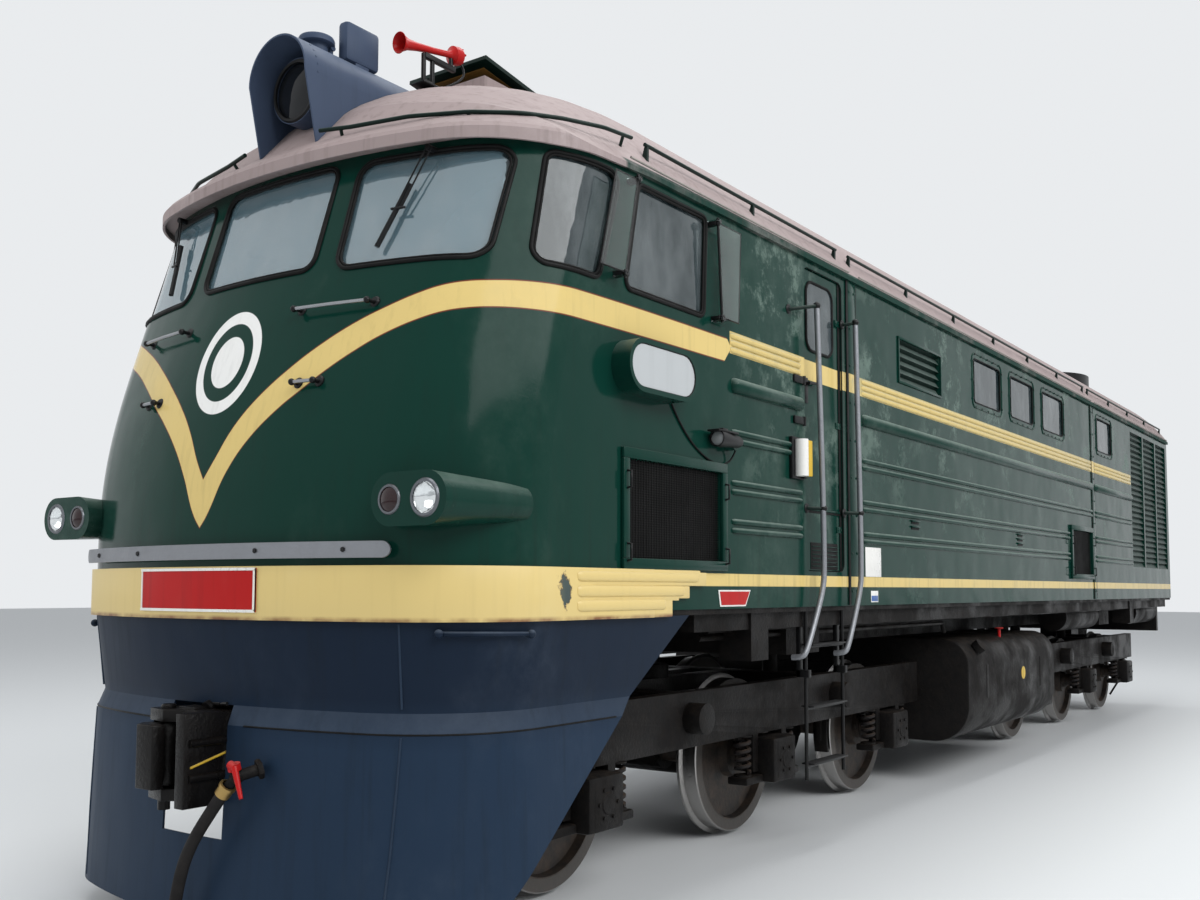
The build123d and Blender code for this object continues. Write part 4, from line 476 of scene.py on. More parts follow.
def wheel_finish(name, axle_y):
    """Dark disc, bright tread and flange, by distance from the axle."""
    material, tree, shader = base_material(name)
    point, x, y, z = coordinates(tree)
    radius = (y - axle_y).length(z - AXLE_Z)
    tread = radius.span(0.515, 0.522)
    colour = noise(point, 11.0, 6, 0.65).span(0.35, 0.7).blend((0.018, 0.016, 0.015), (0.07, 0.048, 0.034))
    colour = (radius.between(0.448, 0.515) * 0.8).blend(colour, (0.06, 0.055, 0.05))
    shade(shader, noise(point, 40.0, 4), 0.003, {
        "Base Color": tread.blend(colour, (0.38, 0.37, 0.36)), "Roughness": tread.span(0, 1, 0.62, 0.28),
        "Metallic": tread,
    })
    return material


for number, axle_y in enumerate(AXLES["front"] + AXLES["rear"], 1):
    nodes[f"wheelset_{number}"].data.materials[0] = wheel_finish(f"wheel_{number}_steel", axle_y)

# %% [markdown]
# Glass is clear with a blue-green cast and a film of dust in clouds. The front windows'
# glass is only partly clear, and its pale blue colour is a painted reflection; the side
# lamps' grey lens is a painted reflection too. Lamp glass is clearer; the tail lenses are
# deep red.


# %% Glass finishes
def glass(name, colour, roughness, transmission=1.0, film=0.0, ior=1.45, sheen=0.5):
    """Thin clear glass; film is how much dust shows on it."""
    material, tree, shader = base_material(name)
    point = coordinates(tree)[0]
    cloud = noise(point, 3.0, 6, 0.65, (1, 1, 0.6)).span(0.42, 0.75)
    shade(shader, noise(point, 5.0, 2), 0.004, {
        "Base Color": (cloud * film).blend(colour, (0.62, 0.68, 0.70)),
        "Roughness": cloud.span(0, 1, roughness, roughness + 0.25 * film),
        "Transmission Weight": transmission, "IOR": ior, "Specular IOR Level": sheen,
    })
    return material


# The front windows' pale blue colour, seen through glass that is only partly clear, is a painted reflection.
window_glass = glass("window_glass", (0.24, 0.39, 0.46), 0.012, 0.62, 0.35, 2.0, 1.0)
side_glass = glass("side_glass", (0.045, 0.070, 0.078), 0.012, 0.55, 0.25, 1.5)
# The side lamps' lens is grey: a painted reflection.
painted_reflection_lens = glass("painted_reflection_lens", (0.33, 0.34, 0.35), 0.08, 0.3, 0.2)
leaf_glass = glass("leaf_glass", (0.80, 0.88, 0.86), 0.012, 1.0, 0.12)
lamp_glass = glass("lamp_glass", (0.93, 0.95, 0.96), 0.02)
smoked_glass = glass("smoked_glass", (0.007, 0.008, 0.010), 0.02, 0.0, 0.0, 1.32)
tail_glass = glass("tail_glass", (0.022, 0.006, 0.007), 0.06, 0.2)

reflector, tree, shader = base_material("lamp_reflector")
point = coordinates(tree)[0]
shade(shader, noise(point, 30.0, 1), 0.002, {
    "Base Color": noise(point, 12.0).blend((0.86, 0.86, 0.85), (0.95, 0.95, 0.94)), "Metallic": 1.0,
    "Roughness": 0.08,
})

# %% [markdown]
# Each solid of the frame now takes its finish, black iron if no other is named. What has
# to look finer than its solid is replaced further down, and the rest keeps its shape and
# only changes its skin. The corner panes of the cab are darker than its front panes.

# %% Finish the frame's own pieces
FINISHES = {
    green_paint: "cab_shell engine_room_walls radiator_walls left_door right_door side_beads",
    shutter_paint: "side_louvres",
    plain_green: "rear_door marker_lamps number_boxes side_meshes",
    dark_green: "roof_rails roof_hatch",
    roof_paint: "cab_roof engine_roof radiator_roof",
    skirt_paint: "front_skirt",
    hood_paint: "headlamp_hood hood_fittings headlamp",
    cream_paint: "nose_band",
    red_paint: "front_plate horn hose_cock",
    cab_paint: "cab_bulkhead cab_fittings",
    machine_paint: "machinery radiator_fan",
    bar_steel: "nose_bar",
    bright_steel: "handrails grab_irons hose_fitting",
    black_paint: "wipers roof_collars",
    window_glass: "windscreens",
    side_glass: "side_windows",
    leaf_glass: "wind_deflectors",
    lamp_glass: "lamp_glasses",
    hose_rubber: "brake_hose",
}
finish_of = {name: material for material, names in FINISHES.items() for name in names.split()}
for name, node in nodes.items():
    if not name.startswith("wheelset"):
        node.data.materials.clear()
        node.data.materials.append(finish_of.get(name, black_iron))
# Front panes keep the glass with the painted reflection; the corner panes take the darker side glass.
FRONT_PANES_HALF, FRONT_PANES_BACK = 1.36, -7.40
screens = nodes["windscreens"].data
screens.materials.append(side_glass)
for face in screens.polygons:
    if abs(face.center.x) > FRONT_PANES_HALF or face.center.y > FRONT_PANES_BACK:
        face.material_index = 1
print("finished", len(nodes), "nodes")

# %% [markdown]
# New pieces are made in a `Shape`: its solids are made once for each of its places, which
# are mostly both sides of the locomotive. Then `piece` smooths the faces, keeps sharp edges
# sharp, gives the finish, and makes the piece ride on its body.

# %% Piece helpers
BOTH, LEFT, RIGHT, ENDS = ((1, 1), (-1, 1)), ((1, 1),), ((-1, 1),), ((1, 1), (-1, -1))
OUT, AHEAD, UP = (1, 0, 0), (0, -1, 0), (0, 0, 1)


def copies(lines, places=BOTH):
    """The lines at each place; a place is the sign of X and the sign of Y."""
    return [[(sx * x, sy * y, z) for x, y, z in line] for sx, sy in places for line in lines]


def enlist(piece, body, replaces):
    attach(piece, body)
    if replaces:
        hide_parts(replaces)
    return piece


class Shape:
    """A mesh in the making. Its methods take points for the first place."""

    def __init__(self, places=BOTH):
        self.bm, self.places = bmesh.new(), places

    def each(self, *points):
        """The points as vectors, at each place."""
        return [[Vector(point) for point in line] for line in copies([points], self.places)]

    def block(self, low, high, bevel=0.0, turn=Matrix()):
        """Box between two corners, with rounded edges if bevel is given."""
        for a, b in self.each(low, high):
            size = Matrix.Diagonal((*[abs(v) for v in b - a], 1))
            made = bmesh.ops.create_cube(self.bm, size=1.0, matrix=Matrix.Translation((a + b) / 2) @ turn @ size)
            if bevel:
                self.bevel(list({e for v in made["verts"] for e in v.link_edges}), bevel)

    def bevel(self, edges, offset):
        """Round some edges in two steps."""
        bmesh.ops.bevel(self.bm, geom=edges, offset=offset, segments=2, affect="EDGES", profile=0.5, material=-1,
                        clamp_overlap=True)

    def bar(self, start, end, radius, segments=12, end_radius=None):
        """Round bar or cone between two points."""
        for a, b in self.each(start, end):
            aim = (b - a).to_track_quat("Z", "Y").to_matrix().to_4x4()
            bmesh.ops.create_cone(
                self.bm, cap_ends=True, segments=segments, radius1=radius, depth=(b - a).length,
                radius2=radius if end_radius is None else end_radius, matrix=Matrix.Translation((a + b) / 2) @ aim)

    def ball(self, centre, radius, segments=12):
        """Small ball."""
        for (place,) in self.each(centre):
            bmesh.ops.create_uvsphere(self.bm, u_segments=segments, v_segments=segments // 2, radius=radius,
                                      matrix=Matrix.Translation(place))

    def bolt(self, centre, direction, radius, height):
        """Six-sided bolt head standing on a surface."""
        centre = Vector(centre)
        self.bar(centre, centre + Vector(direction).normalized() * height, radius, 6)

    def turned(self, centre, axis, profile, segments=32):
        """Spin a profile of (radius, along) pairs about an axis through centre."""
        for middle, along in self.each(centre, axis):
            along.normalize()
            across = along.orthogonal().normalized()
            verts = [self.bm.verts.new(middle + across * r + along * a) for r, a in profile]
            edges = [self.bm.edges.new(pair) for pair in zip(verts, verts[1:])]
            bmesh.ops.spin(self.bm, geom=verts + edges, cent=middle, axis=along, angle=2 * pi, steps=segments,
                           use_merge=True)
            bmesh.ops.remove_doubles(self.bm, verts=self.bm.verts, dist=0.00005)

    def slab(self, outline, thickness):
        """Flat plate: an outline of points extruded by a vector."""
        for *points, depth in self.each(*outline, thickness):
            face = self.bm.faces.new([self.bm.verts.new(point) for point in points])
            grown = bmesh.ops.extrude_face_region(self.bm, geom=[face], use_keep_orig=True)["geom"]
            far = [v for v in grown if isinstance(v, bmesh.types.BMVert)]
            bmesh.ops.translate(self.bm, verts=far, vec=depth)

    def loft(self, rings):
        """Skin over rings of points, closed at both ends."""
        for place in self.places:
            made = [[self.bm.verts.new(point) for point in ring] for ring in copies(rings, (place,))]
            for a, b in zip(made, made[1:]):
                for k in range(len(a)):
                    after = (k + 1) % len(a)
                    self.bm.faces.new((a[k], a[after], b[after], b[k]))
            self.bm.faces.new(made[0])
            self.bm.faces.new(made[-1])

    def ridge(self, front, back, z, height, depth, out, steps=8, run_out=0.03):
        """Half-round ridge along the side wall with soft ends."""
        soft = run_out * 0.4
        rings = []
        for y, share in ((front, 0.15), (front + soft, 0.75), (front + run_out, 1.0), (back - run_out, 1.0),
                         (back - soft, 0.75), (back, 0.15)):
            half = height / 2 * (0.55 + 0.45 * share)
            angles = [pi * k / steps for k in range(steps + 1)]
            rings.append([(out + depth * share * sin(a), y, z - half * cos(a)) for a in angles])
        self.loft(rings)

    def piece(self, name, material, slot, body="body", replaces=None, sharp=35):
        """Turn the mesh into a finished object that rides on a body."""
        bmesh.ops.recalc_face_normals(self.bm, faces=self.bm.faces)
        for face in self.bm.faces:
            face.smooth = True
        mesh = bpy.data.meshes.new(name)
        self.bm.to_mesh(mesh)
        self.bm.free()
        mesh.set_sharp_from_angle(angle=radians(sharp))
        mesh.materials.append(material)
        return enlist(link(name, mesh), body, replaces)


def rods(name, lines, radius, material, body="body", replaces=None, closed=False, smooth=False, rounds=3,
         steps=6):
    """Round bars along lines of points, as one curve object."""
    data = bpy.data.curves.new(name, "CURVE")
    data.dimensions = "3D"
    data.bevel_depth = radius
    data.bevel_resolution = rounds
    data.use_fill_caps = True
    for line in lines:
        spline = data.splines.new("NURBS" if smooth else "POLY")
        spline.points.add(len(line) - 1)
        for point, place in zip(spline.points, line):
            point.co = (*place, 1)
        if smooth:
            spline.order_u = 3
            spline.use_endpoint_u = not closed
            spline.resolution_u = steps
        spline.use_cyclic_u = closed
    data.materials.append(material)
    return enlist(link(name, data), body, replaces)


def softened(name, node, radius, material, slot="black_iron", body="body"):
    """Copy of a frame piece with its hard edges rounded, as castings and folded plates have."""
    shape = Shape()
    shape.bm.from_mesh(nodes[node].data)
    bmesh.ops.remove_doubles(shape.bm, verts=shape.bm.verts, dist=0.0001)
    bmesh.ops.dissolve_limit(shape.bm, angle_limit=radians(0.5), verts=shape.bm.verts, edges=shape.bm.edges)
    hard = [e for e in shape.bm.edges if len(e.link_faces) == 2 and e.calc_face_angle(0) > radians(40)]
    shape.bevel(hard, radius)
    return shape.piece(name, material, slot, body, node)


# %% [markdown]
# Many fittings sit on the curved nose. Its plan is two straight sides, two corner arcs
# and one flat front arc, and the front line leans back with height. These functions
# give the surface's Y for a place across the front, and its X for a place along the side.

# %% The nose surface
NOSE_LEVELS = [(1.56, -8.13), (1.98, -8.128), (2.30, -8.103), (2.62, -8.04), (3.224, -7.858), (3.855, -7.662)]
HALF, FRONT_R, CORNER_R = 1.54, 3.8, 0.65
WALL = HALF + 0.001


def arc_back(radius, x):
    """How far an arc about the centre line has fallen back at x."""
    return radius - sqrt(radius**2 - x * x)


def corner_centre(front, half):
    """Y of the corner arcs' centres, for a front line and half a width."""
    return front + FRONT_R - sqrt((FRONT_R - CORNER_R) ** 2 - (half - CORNER_R) ** 2)


def nose_front(z):
    """Front line of the nose at height z."""
    for low, high in zip(NOSE_LEVELS, NOSE_LEVELS[1:]):
        if z <= high[0]:
            return low[1] + (z - low[0]) / (high[0] - low[0]) * (high[1] - low[1])
    return NOSE_LEVELS[-1][1]


def nose_y(x, z):
    """Y of the nose surface across the front."""
    if abs(x) <= FRONT_R * (HALF - CORNER_R) / (FRONT_R - CORNER_R):
        return nose_front(z) + arc_back(FRONT_R, x)
    reach = abs(x) - HALF + CORNER_R
    return corner_centre(nose_front(z), HALF) - sqrt(max(CORNER_R**2 - reach**2, 0))


def nose_x(y, z):
    """X of the nose surface along the left side."""
    ahead = max(corner_centre(nose_front(z), HALF) - y, 0)
    return HALF - CORNER_R + sqrt(max(CORNER_R**2 - ahead**2, 0))


# %% [markdown]
# Every window sits in a black rubber section. In the photograph it reads as two soft
# ridges, a wide one over the steel and a thin one on the glass. Each ridge is a round
# curve that follows the window's outline: the outline is a rounded quadrilateral, moved
# in or out a little and laid on the surface.


# %% Window outlines
def grown(quad, amount):
    """Move each side of a convex quadrilateral outwards."""
    centre = Vector((sum(p[0] for p in quad) / 4, sum(p[1] for p in quad) / 4))
    lines = []
    for a, b in zip(quad, quad[1:] + quad[:1]):
        a, b = Vector(a), Vector(b)
        normal = Vector(((b - a).y, -(b - a).x)).normalized()
        if normal.dot(centre - a) > 0:
            normal = -normal
        lines.append((a + normal * amount, b - a))
    corners = []
    for (p, d), (q, e) in zip(lines[-1:] + lines[:-1], lines):
        t = ((q - p).x * e.y - (q - p).y * e.x) / (d.x * e.y - d.y * e.x)
        corners.append(tuple(p + d * t))
    return corners


def rounded(quad, radius, step=0.06, arc_steps=6):
    """Points along a quadrilateral with round corners, closed."""
    points = []
    for trio in zip(quad[-1:] + quad[:-1], quad, quad[1:] + quad[:1]):
        before, corner, after = map(Vector, trio)
        to_before, to_after = (before - corner).normalized(), (after - corner).normalized()
        half_turn = to_before.angle(to_after) / 2
        reach = radius / tan(half_turn)
        centre = corner + (to_before + to_after).normalized() * radius / sin(half_turn)
        first, last = corner + to_before * reach - centre, corner + to_after * reach - centre
        sweep = -first.angle_signed(last)
        points += [tuple(centre + Matrix.Rotation(sweep * k / arc_steps, 2) @ first) for k in range(arc_steps + 1)]
        length = (after - corner).length - 2 * reach
        count = max(int(length / step), 1)
        start = Vector(points[-1])
        points += [tuple(start + to_after * length * k / count) for k in range(1, count)]
    return points


def upright(front, back, low, high):
    """Rectangle of (y, z), or of (x, z)."""
    return [(front, low), (back, low), (back, high), (front, high)]


def at_x(x, outline):
    """Stand an outline of (y, z) at one x."""
    return [(x, y, z) for y, z in outline]


FRONT_PANE = upright(-0.43, 0.43, 3.245, 3.805)
QUARTER = [(0.59, 3.225), (1.335, 3.225), (1.35, 3.795), (0.575, 3.795)]
CORNER = [(-7.39, 3.225), (-6.955, 3.225), (-6.78, 3.795), (-7.245, 3.795)]
CAB_SIDE = [(-6.715, 3.225), (-5.935, 3.225), (-5.905, 3.795), (-6.59, 3.795)]
SIDE_WINDOWS = [upright(*ends, 3.34, 3.75) for ends in ((-1.2, -0.43), (-0.11, 0.65), (1.0, 1.8), (3.34, 4.07))]


def seals(growth, lift, side_windows):
    """One ridge of every window rubber, lifted off the surface."""
    def on_front(quad, radius):
        return [(x, nose_y(x, z) - lift, z) for x, z in rounded(grown(quad, growth), radius + growth)]

    def on_side(quad, radius):
        return [(nose_x(y, z) + lift, y, z) for y, z in rounded(grown(quad, growth), radius + growth)]

    loops = [on_front(QUARTER, 0.08), on_side(CORNER, 0.06), on_side(CAB_SIDE, 0.04)]
    return [on_front(FRONT_PANE, 0.07)] + copies(loops + [on_side(quad, 0.05) for quad in side_windows])


# %% Window rubbers
rods("window_rubbers", seals(0.009, 0.003, []), 0.011, rubber, closed=True)
rods("window_rubber_lips", seals(-0.007, 0.0, SIDE_WINDOWS), 0.007, rubber, closed=True)

# %% [markdown]
# The wipers hang from the roof edge over the two outer front panes: a jointed pair of
# thin arms down to a long blade.


# %% Wipers
def nose_point(x, z, lift):
    """Point in front of the nose surface."""
    return (x, nose_y(x, z) - lift, z)


wipers = Shape()
wipers.bar(nose_point(0.99, 3.806, -0.02), nose_point(0.99, 3.806, 0.065), 0.016)
for top_x, low_x in ((0.975, 0.872), (1.005, 0.905)):
    wipers.bar(nose_point(top_x, 3.806, 0.052), nose_point(low_x, 3.50, 0.030), 0.0045, 8)
wipers.bar(nose_point(0.85, 3.50, 0.030), nose_point(0.925, 3.50, 0.030), 0.007, 8)
for lift, radius in ((0.026, 0.010), (0.013, 0.006)):
    wipers.bar(nose_point(0.912, 3.63, lift), nose_point(0.818, 3.305, lift), radius, 8)
wipers.piece("wiper_arms", black_paint, "black_iron", replaces="wipers")

# %% [markdown]
# A lamp has depth: a chrome bowl, a clear cover in front of it and a steel rim. The
# outer lamps of the two side pods are clear and the inner ones are dark red.

# %% Headlamp and pod lamps
CLEAR_LAMP, RED_LAMP = (1.425, -8.045, 2.058), (1.213, -8.045, 2.058)
bowls, covers, rims, lenses, dark, ring = Shape(), Shape(), Shape(), Shape(), Shape(LEFT), Shape(LEFT)
bowls.turned(CLEAR_LAMP, (0, 1, 0), [(0.0, 0.034), (0.03, 0.033), (0.050, 0.026), (0.070, 0.004)])
covers.turned(CLEAR_LAMP, AHEAD, [(0.0, 0.010), (0.036, 0.008), (0.070, 0.0), (0.070, -0.003), (0.0, 0.006)])
rims.turned(CLEAR_LAMP, AHEAD, [(0.068, -0.004), (0.068, 0.006), (0.079, 0.008), (0.085, 0.0), (0.085, -0.004)])
lenses.turned(RED_LAMP, AHEAD, [(0.0, 0.016), (0.03, 0.012), (0.056, 0.0), (0.056, -0.012), (0.0, -0.012)])
rims.turned(RED_LAMP, AHEAD, [(0.055, -0.004), (0.055, 0.005), (0.064, 0.006), (0.068, 0.0), (0.068, -0.004)])
dark.turned((0, -7.585, 4.335), AHEAD, [
    (0.0, 0.020), (0.08, 0.014), (0.157, 0.0), (0.157, -0.006), (0.0, 0.012)], 48)
ring.turned((0, -7.60, 4.335), AHEAD, [
    (0.152, -0.006), (0.152, 0.008), (0.166, 0.010), (0.174, 0.0), (0.174, -0.02)], 48)
bowls.piece("lamp_bowls", reflector, "lamp_glass", replaces="lamp_glasses")
covers.piece("lamp_covers", lamp_glass, "lamp_glass", replaces="lamp_glasses")
lenses.piece("tail_lenses", tail_glass, "lamp_glass", replaces="lamp_glasses")
dark.piece("headlamp_glass", smoked_glass, "lamp_glass", replaces="lamp_glasses")
ring.piece("headlamp_ring", black_paint, "steel")
rims.piece("lamp_rims", bar_steel, "steel")

# %% [markdown]
# The number box on each side has a white lit pane, left blank here, in a black rubber.

# %% Number panes
BOX_FRONT, BOX_BACK, BOX_Z, BOX_HALF, BOX_X = -6.84, -6.178, 2.808, 0.139, HALF + 0.115


def stadium(inset, steps=12):
    """Outline of the number box as (y, z), with half-round ends."""
    points = []
    for centre, start in ((BOX_BACK - BOX_HALF, -pi / 2), (BOX_FRONT + BOX_HALF, pi / 2)):
        for angle in (start + pi * k / steps for k in range(steps + 1)):
            points.append((centre + (BOX_HALF - inset) * cos(angle), BOX_Z + (BOX_HALF - inset) * sin(angle)))
    return points


panes = Shape()
panes.slab(at_x(BOX_X - 0.009, stadium(0.027)), (0.003, 0, 0))
panes.piece("number_panes", pane_enamel, "lamp_glass", replaces="lamp_glasses")
pane_loops = copies([at_x(BOX_X - 0.0095, stadium(0.022))])
rods("number_pane_rubbers", pane_loops, 0.009, rubber, closed=True)

# %% [markdown]
# The side openings are covered with woven wire. From a few metres off the upright wires
# and the level wires read as a dark texture, so each wire is a plain thin bar, and a
# dark sheet stands behind them as painted shade inside the opening. A frame with hooks
# holds the mesh.

# %% Wire mesh and its frames
MESHES = [(-6.70, -5.75, 1.83, 2.34), (2.05, 2.93, 1.85, 2.34)]
LEVEL_PITCH, UPRIGHT_PITCH, LEVEL_R, UPRIGHT_R = 0.0125, 0.025, 0.0022, 0.0018
MESH_X, FRAME_WIDTH = HALF - 0.012, 0.055
mesh, painted_shade_sheet, frames = Shape(), Shape(), Shape()
hooks = []
for front, back, low, high in MESHES:
    wires = int((high - low) / LEVEL_PITCH)
    for z in (low + (high - low) * k / wires for k in range(1, wires)):
        mesh.block((MESH_X - LEVEL_R, front, z - LEVEL_R), (MESH_X + LEVEL_R, back, z + LEVEL_R))
    x = MESH_X + 0.002
    for y in (front + UPRIGHT_PITCH * k for k in range(1, int((back - front) / UPRIGHT_PITCH))):
        mesh.block((x - UPRIGHT_R, y - UPRIGHT_R, low), (x + UPRIGHT_R, y + UPRIGHT_R, high))
    # Dark sheet behind the mesh: painted shade inside the opening.
    painted_shade_sheet.block((HALF - 0.034, front, low), (HALF - 0.030, back, high))
    for y in (front - 0.026, back + 0.026):
        for z in (low + 0.03, high - 0.11):
            x1, x2 = HALF + 0.020, HALF + 0.048
            hooks.append([(x1, y, z - 0.045), (x2, y, z - 0.040), (x2, y, z + 0.040), (x1, y, z + 0.045)])
    outer_front, outer_back = front - FRAME_WIDTH, back + FRAME_WIDTH
    for y0, y1, z0, z1 in ((outer_front, outer_back, low - FRAME_WIDTH, low), (outer_front, front, low, high),
                           (outer_front, outer_back, high, high + FRAME_WIDTH), (back, outer_back, low, high)):
        frames.block((WALL, y0, z0), (HALF + 0.024, y1, z1), 0.005)
mesh.piece("wire_mesh", rubber, "green_paint", replaces="side_meshes")
painted_shade_sheet.piece("mesh_painted_shade_sheet", rubber, "green_paint", replaces="side_meshes")
frames.piece("mesh_frames", plain_green, "green_paint", replaces="side_meshes")
rods("mesh_hooks", copies(hooks), 0.0065, black_paint)

# %% [markdown]
# The brake hose leaves its cock beside the coupler and hangs free. Its line is one smooth
# NURBS through the route's points, and its end carries a steel fitting. A brass band
# holds its upper end.

# %% Brake hose
HOSE = [(0.395, -8.240, 0.762), (0.300, -8.258, 0.640), (0.190, -8.266, 0.500), (0.105, -8.262, 0.350),
        (0.055, -8.250, 0.195)]
hose = rods("brake_hose_line", [HOSE], 0.029, hose_rubber, replaces="brake_hose", smooth=True, rounds=6,
            steps=12)
hose_top = Vector(HOSE[0])
up_hose = (hose_top - Vector(HOSE[1])).normalized()
band = Shape(LEFT)
band.turned(hose_top + up_hose * -0.002, up_hose, [
    (0.030, -0.03), (0.036, -0.028), (0.036, 0.012), (0.040, 0.014), (0.040, 0.030), (0.030, 0.032)], 24)
band.piece("hose_band", brass, "steel")

# %% [markdown]
# Springs carry the bogie frame on each side of every axle box. A coil is a small circle
# spun round the spring's axis while it climbs: `spin` takes the climb of each step.

# %% Bogie springs and axle boxes
SPRING_X, SPRING_LOW, SPRING_HIGH = 1.05, 0.440, 0.690
COIL_R, WIRE_R, COIL_TURNS, STEPS_A_TURN = 0.046, 0.0145, 4.5, 14


def coil(shape, y):
    """Coil spring standing at y on each side."""
    steps = int(COIL_TURNS * STEPS_A_TURN)
    climb = (SPRING_HIGH - SPRING_LOW - 2 * WIRE_R) / steps
    for (foot,) in shape.each((SPRING_X, y, 0)):
        place = Matrix.Translation(foot + Vector((COIL_R, 0, SPRING_LOW + WIRE_R))) @ Matrix.Rotation(pi / 2, 4, "X")
        circle = bmesh.ops.create_circle(shape.bm, segments=6, radius=WIRE_R, cap_ends=True, matrix=place)
        start = circle["verts"]
        geom = [*start, *{e for v in start for e in v.link_edges}, *{f for v in start for f in v.link_faces}]
        bmesh.ops.spin(shape.bm, geom=geom, cent=foot, axis=UP, dvec=(0, 0, climb), angle=COIL_TURNS * 2 * pi,
                       steps=steps, use_merge=False, use_duplicate=False)


for name, axles in AXLES.items():
    springs, boxes = Shape(), Shape()
    for y in axles:
        for spring_y in (y - 0.31, y + 0.31):
            coil(springs, spring_y)
            for z0, z1 in ((0.430, SPRING_LOW), (SPRING_HIGH, 0.6995)):
                boxes.bar((SPRING_X, spring_y, z0), (SPRING_X, spring_y, z1), 0.062, 20)
        boxes.block((0.975, y - 0.385, 0.378), (1.125, y + 0.385, 0.430), 0.012)
        boxes.block((0.986, y - 0.163, 0.376), (1.213, y + 0.163, 0.674), 0.022)
        boxes.block((1.12, y - 0.12, 0.40), (1.217, y + 0.12, 0.655), 0.012)
        boxes.turned((1.214, y, AXLE_Z), OUT, [
            (0.0, 0.012), (0.055, 0.012), (0.062, 0.006), (0.10, 0.006), (0.115, -0.002), (0.115, -0.02),
            (0.0, -0.02)], 24)
        for a in (k * pi / 3 for k in range(6)):
            boxes.bolt((1.219, y + 0.086 * cos(a), AXLE_Z + 0.086 * sin(a)), OUT, 0.011, 0.010)
    boxes.piece(f"{name}_axle_boxes", black_iron, "black_iron", f"{name}_bogie", f"{name}_suspension")
    springs.piece(f"{name}_coil_springs", spring_steel, "black_iron", f"{name}_bogie", f"{name}_suspension")

# %% [markdown]
# Castings have no sharp corners. The frame's bogies, couplers and tank are plain solids,
# so a copy of each is merged and its hard edges are bevelled, which gives every edge a
# line of light. The copy then stands for the frame's piece. The pivot bowl of each bogie
# frame has 0.2 mm of play, less than the flats of a faceted circle take up, so the copy's
# bowl gets 1.3 mm more.

# %% Castings with soft edges
BOWL_PLAY, BOWL_INSIDE, BOWL_OUTSIDE = 0.0013, 0.145, 0.165
for name, pivot in BOGIES.items():
    cast = softened(f"{name}_cast_frame", f"{name}_bogie_frame", 0.008, black_iron, body=f"{name}_bogie")
    for vertex in cast.data.vertices:
        reach = sqrt(vertex.co.x**2 + (vertex.co.y - pivot) ** 2)
        if BOWL_INSIDE < reach < BOWL_OUTSIDE:
            vertex.co.x *= (reach + BOWL_PLAY) / reach
            vertex.co.y = pivot + (vertex.co.y - pivot) * (reach + BOWL_PLAY) / reach
    softened(f"{name}_jaw", f"{name}_knuckle", 0.026, oily_iron, body=f"{name}_knuckle")
    softened(f"{name}_brake_rigging", f"{name}_brake_gear", 0.004, black_iron, body=f"{name}_bogie")
softened("coupler_castings", "couplers", 0.018, oily_iron)
softened("tank_body", "fuel_tank", 0.010, black_iron)

# %% [markdown]
# The tank has two steel straps, a filler, a red valve and a round yellow spot on each
# side; on the real tank the spot marks its fuel.

# %% Tank fittings
straps, valves, spots = Shape(), Shape(), Shape()
for y in (-0.85, 0.85):
    straps.block((1.494, y - 0.03, 0.70), (1.503, y + 0.03, 1.00), 0.002)
straps.bar((1.40, -1.05, 1.10), (1.495, -1.05, 1.17), 0.05, 20)
straps.bar((1.47, -1.05, 1.15), (1.515, -1.05, 1.185), 0.062, 20)
valves.bar((1.36, -0.03, 1.20), (1.36, -0.03, 1.30), 0.014, 10)
valves.turned((1.36, -0.03, 1.302), UP, [
    (0.0, 0.008), (0.035, 0.008), (0.045, 0.0), (0.035, -0.008), (0.0, -0.008)], 16)
spots.turned((1.498, 0.26, 0.864), OUT, [
    (0.0, 0.004), (0.06, 0.004), (0.065, 0.0), (0.065, -0.002), (0.0, -0.002)], 24)
straps.piece("tank_straps", black_iron, "black_iron")
valves.piece("tank_valves", red_paint, "red_paint")
spots.piece("tank_spots", yellow_paint, "red_paint")

# %% [markdown]
# The air horn on the roof is a red trumpet on a black angle bracket. A trumpet is one
# profile spun about its own line: a narrow throat, a long cone and a flared lip.

# %% Roof horn
trumpet, bracket = Shape(LEFT), Shape(LEFT)
horn_axis = Vector((-0.10, -1.0, -0.16)).normalized()
horn_root = Vector((0.30, -6.70, 4.790))
trumpet.turned(horn_root, horn_axis, [
    (0.0, -0.06), (0.048, -0.058), (0.054, -0.04), (0.054, 0.0), (0.030, 0.012), (0.018, 0.03), (0.019, 0.15),
    (0.024, 0.27), (0.032, 0.34), (0.050, 0.385), (0.060, 0.397), (0.057, 0.399), (0.046, 0.384), (0.028, 0.34),
    (0.020, 0.27), (0.014, 0.15), (0.0, 0.12)])
for a in (k * pi / 3 for k in range(6)):
    rim_point = horn_root - horn_axis * 0.056 + Vector((0.043 * cos(a), 0, 0.043 * sin(a)))
    trumpet.bolt(rim_point, -horn_axis, 0.007, 0.008)
bracket.block((0.286, -6.93, 4.690), (0.314, -6.68, 4.722), 0.004)
bracket.bar((0.30, -6.71, 4.715), (0.30, -6.71, 4.765), 0.013)
for y in (-6.935, -6.865):
    bracket.block((0.290, y - 0.012, 4.53), (0.310, y + 0.012, 4.715), 0.004)
bracket.block((0.290, -6.93, 4.535), (0.310, -6.87, 4.565), 0.003)
bracket.block((0.25, -6.98, 4.522), (0.35, -6.83, 4.534), 0.003)
trumpet.piece("horn_trumpet", red_paint, "red_paint", replaces="horn")
bracket.piece("horn_bracket", black_paint, "black_iron", replaces="horn")
horn_pipe = [(0.30, -6.64, 4.77), (0.31, -6.60, 4.74), (0.31, -6.62, 4.66), (0.30, -6.75, 4.58)]
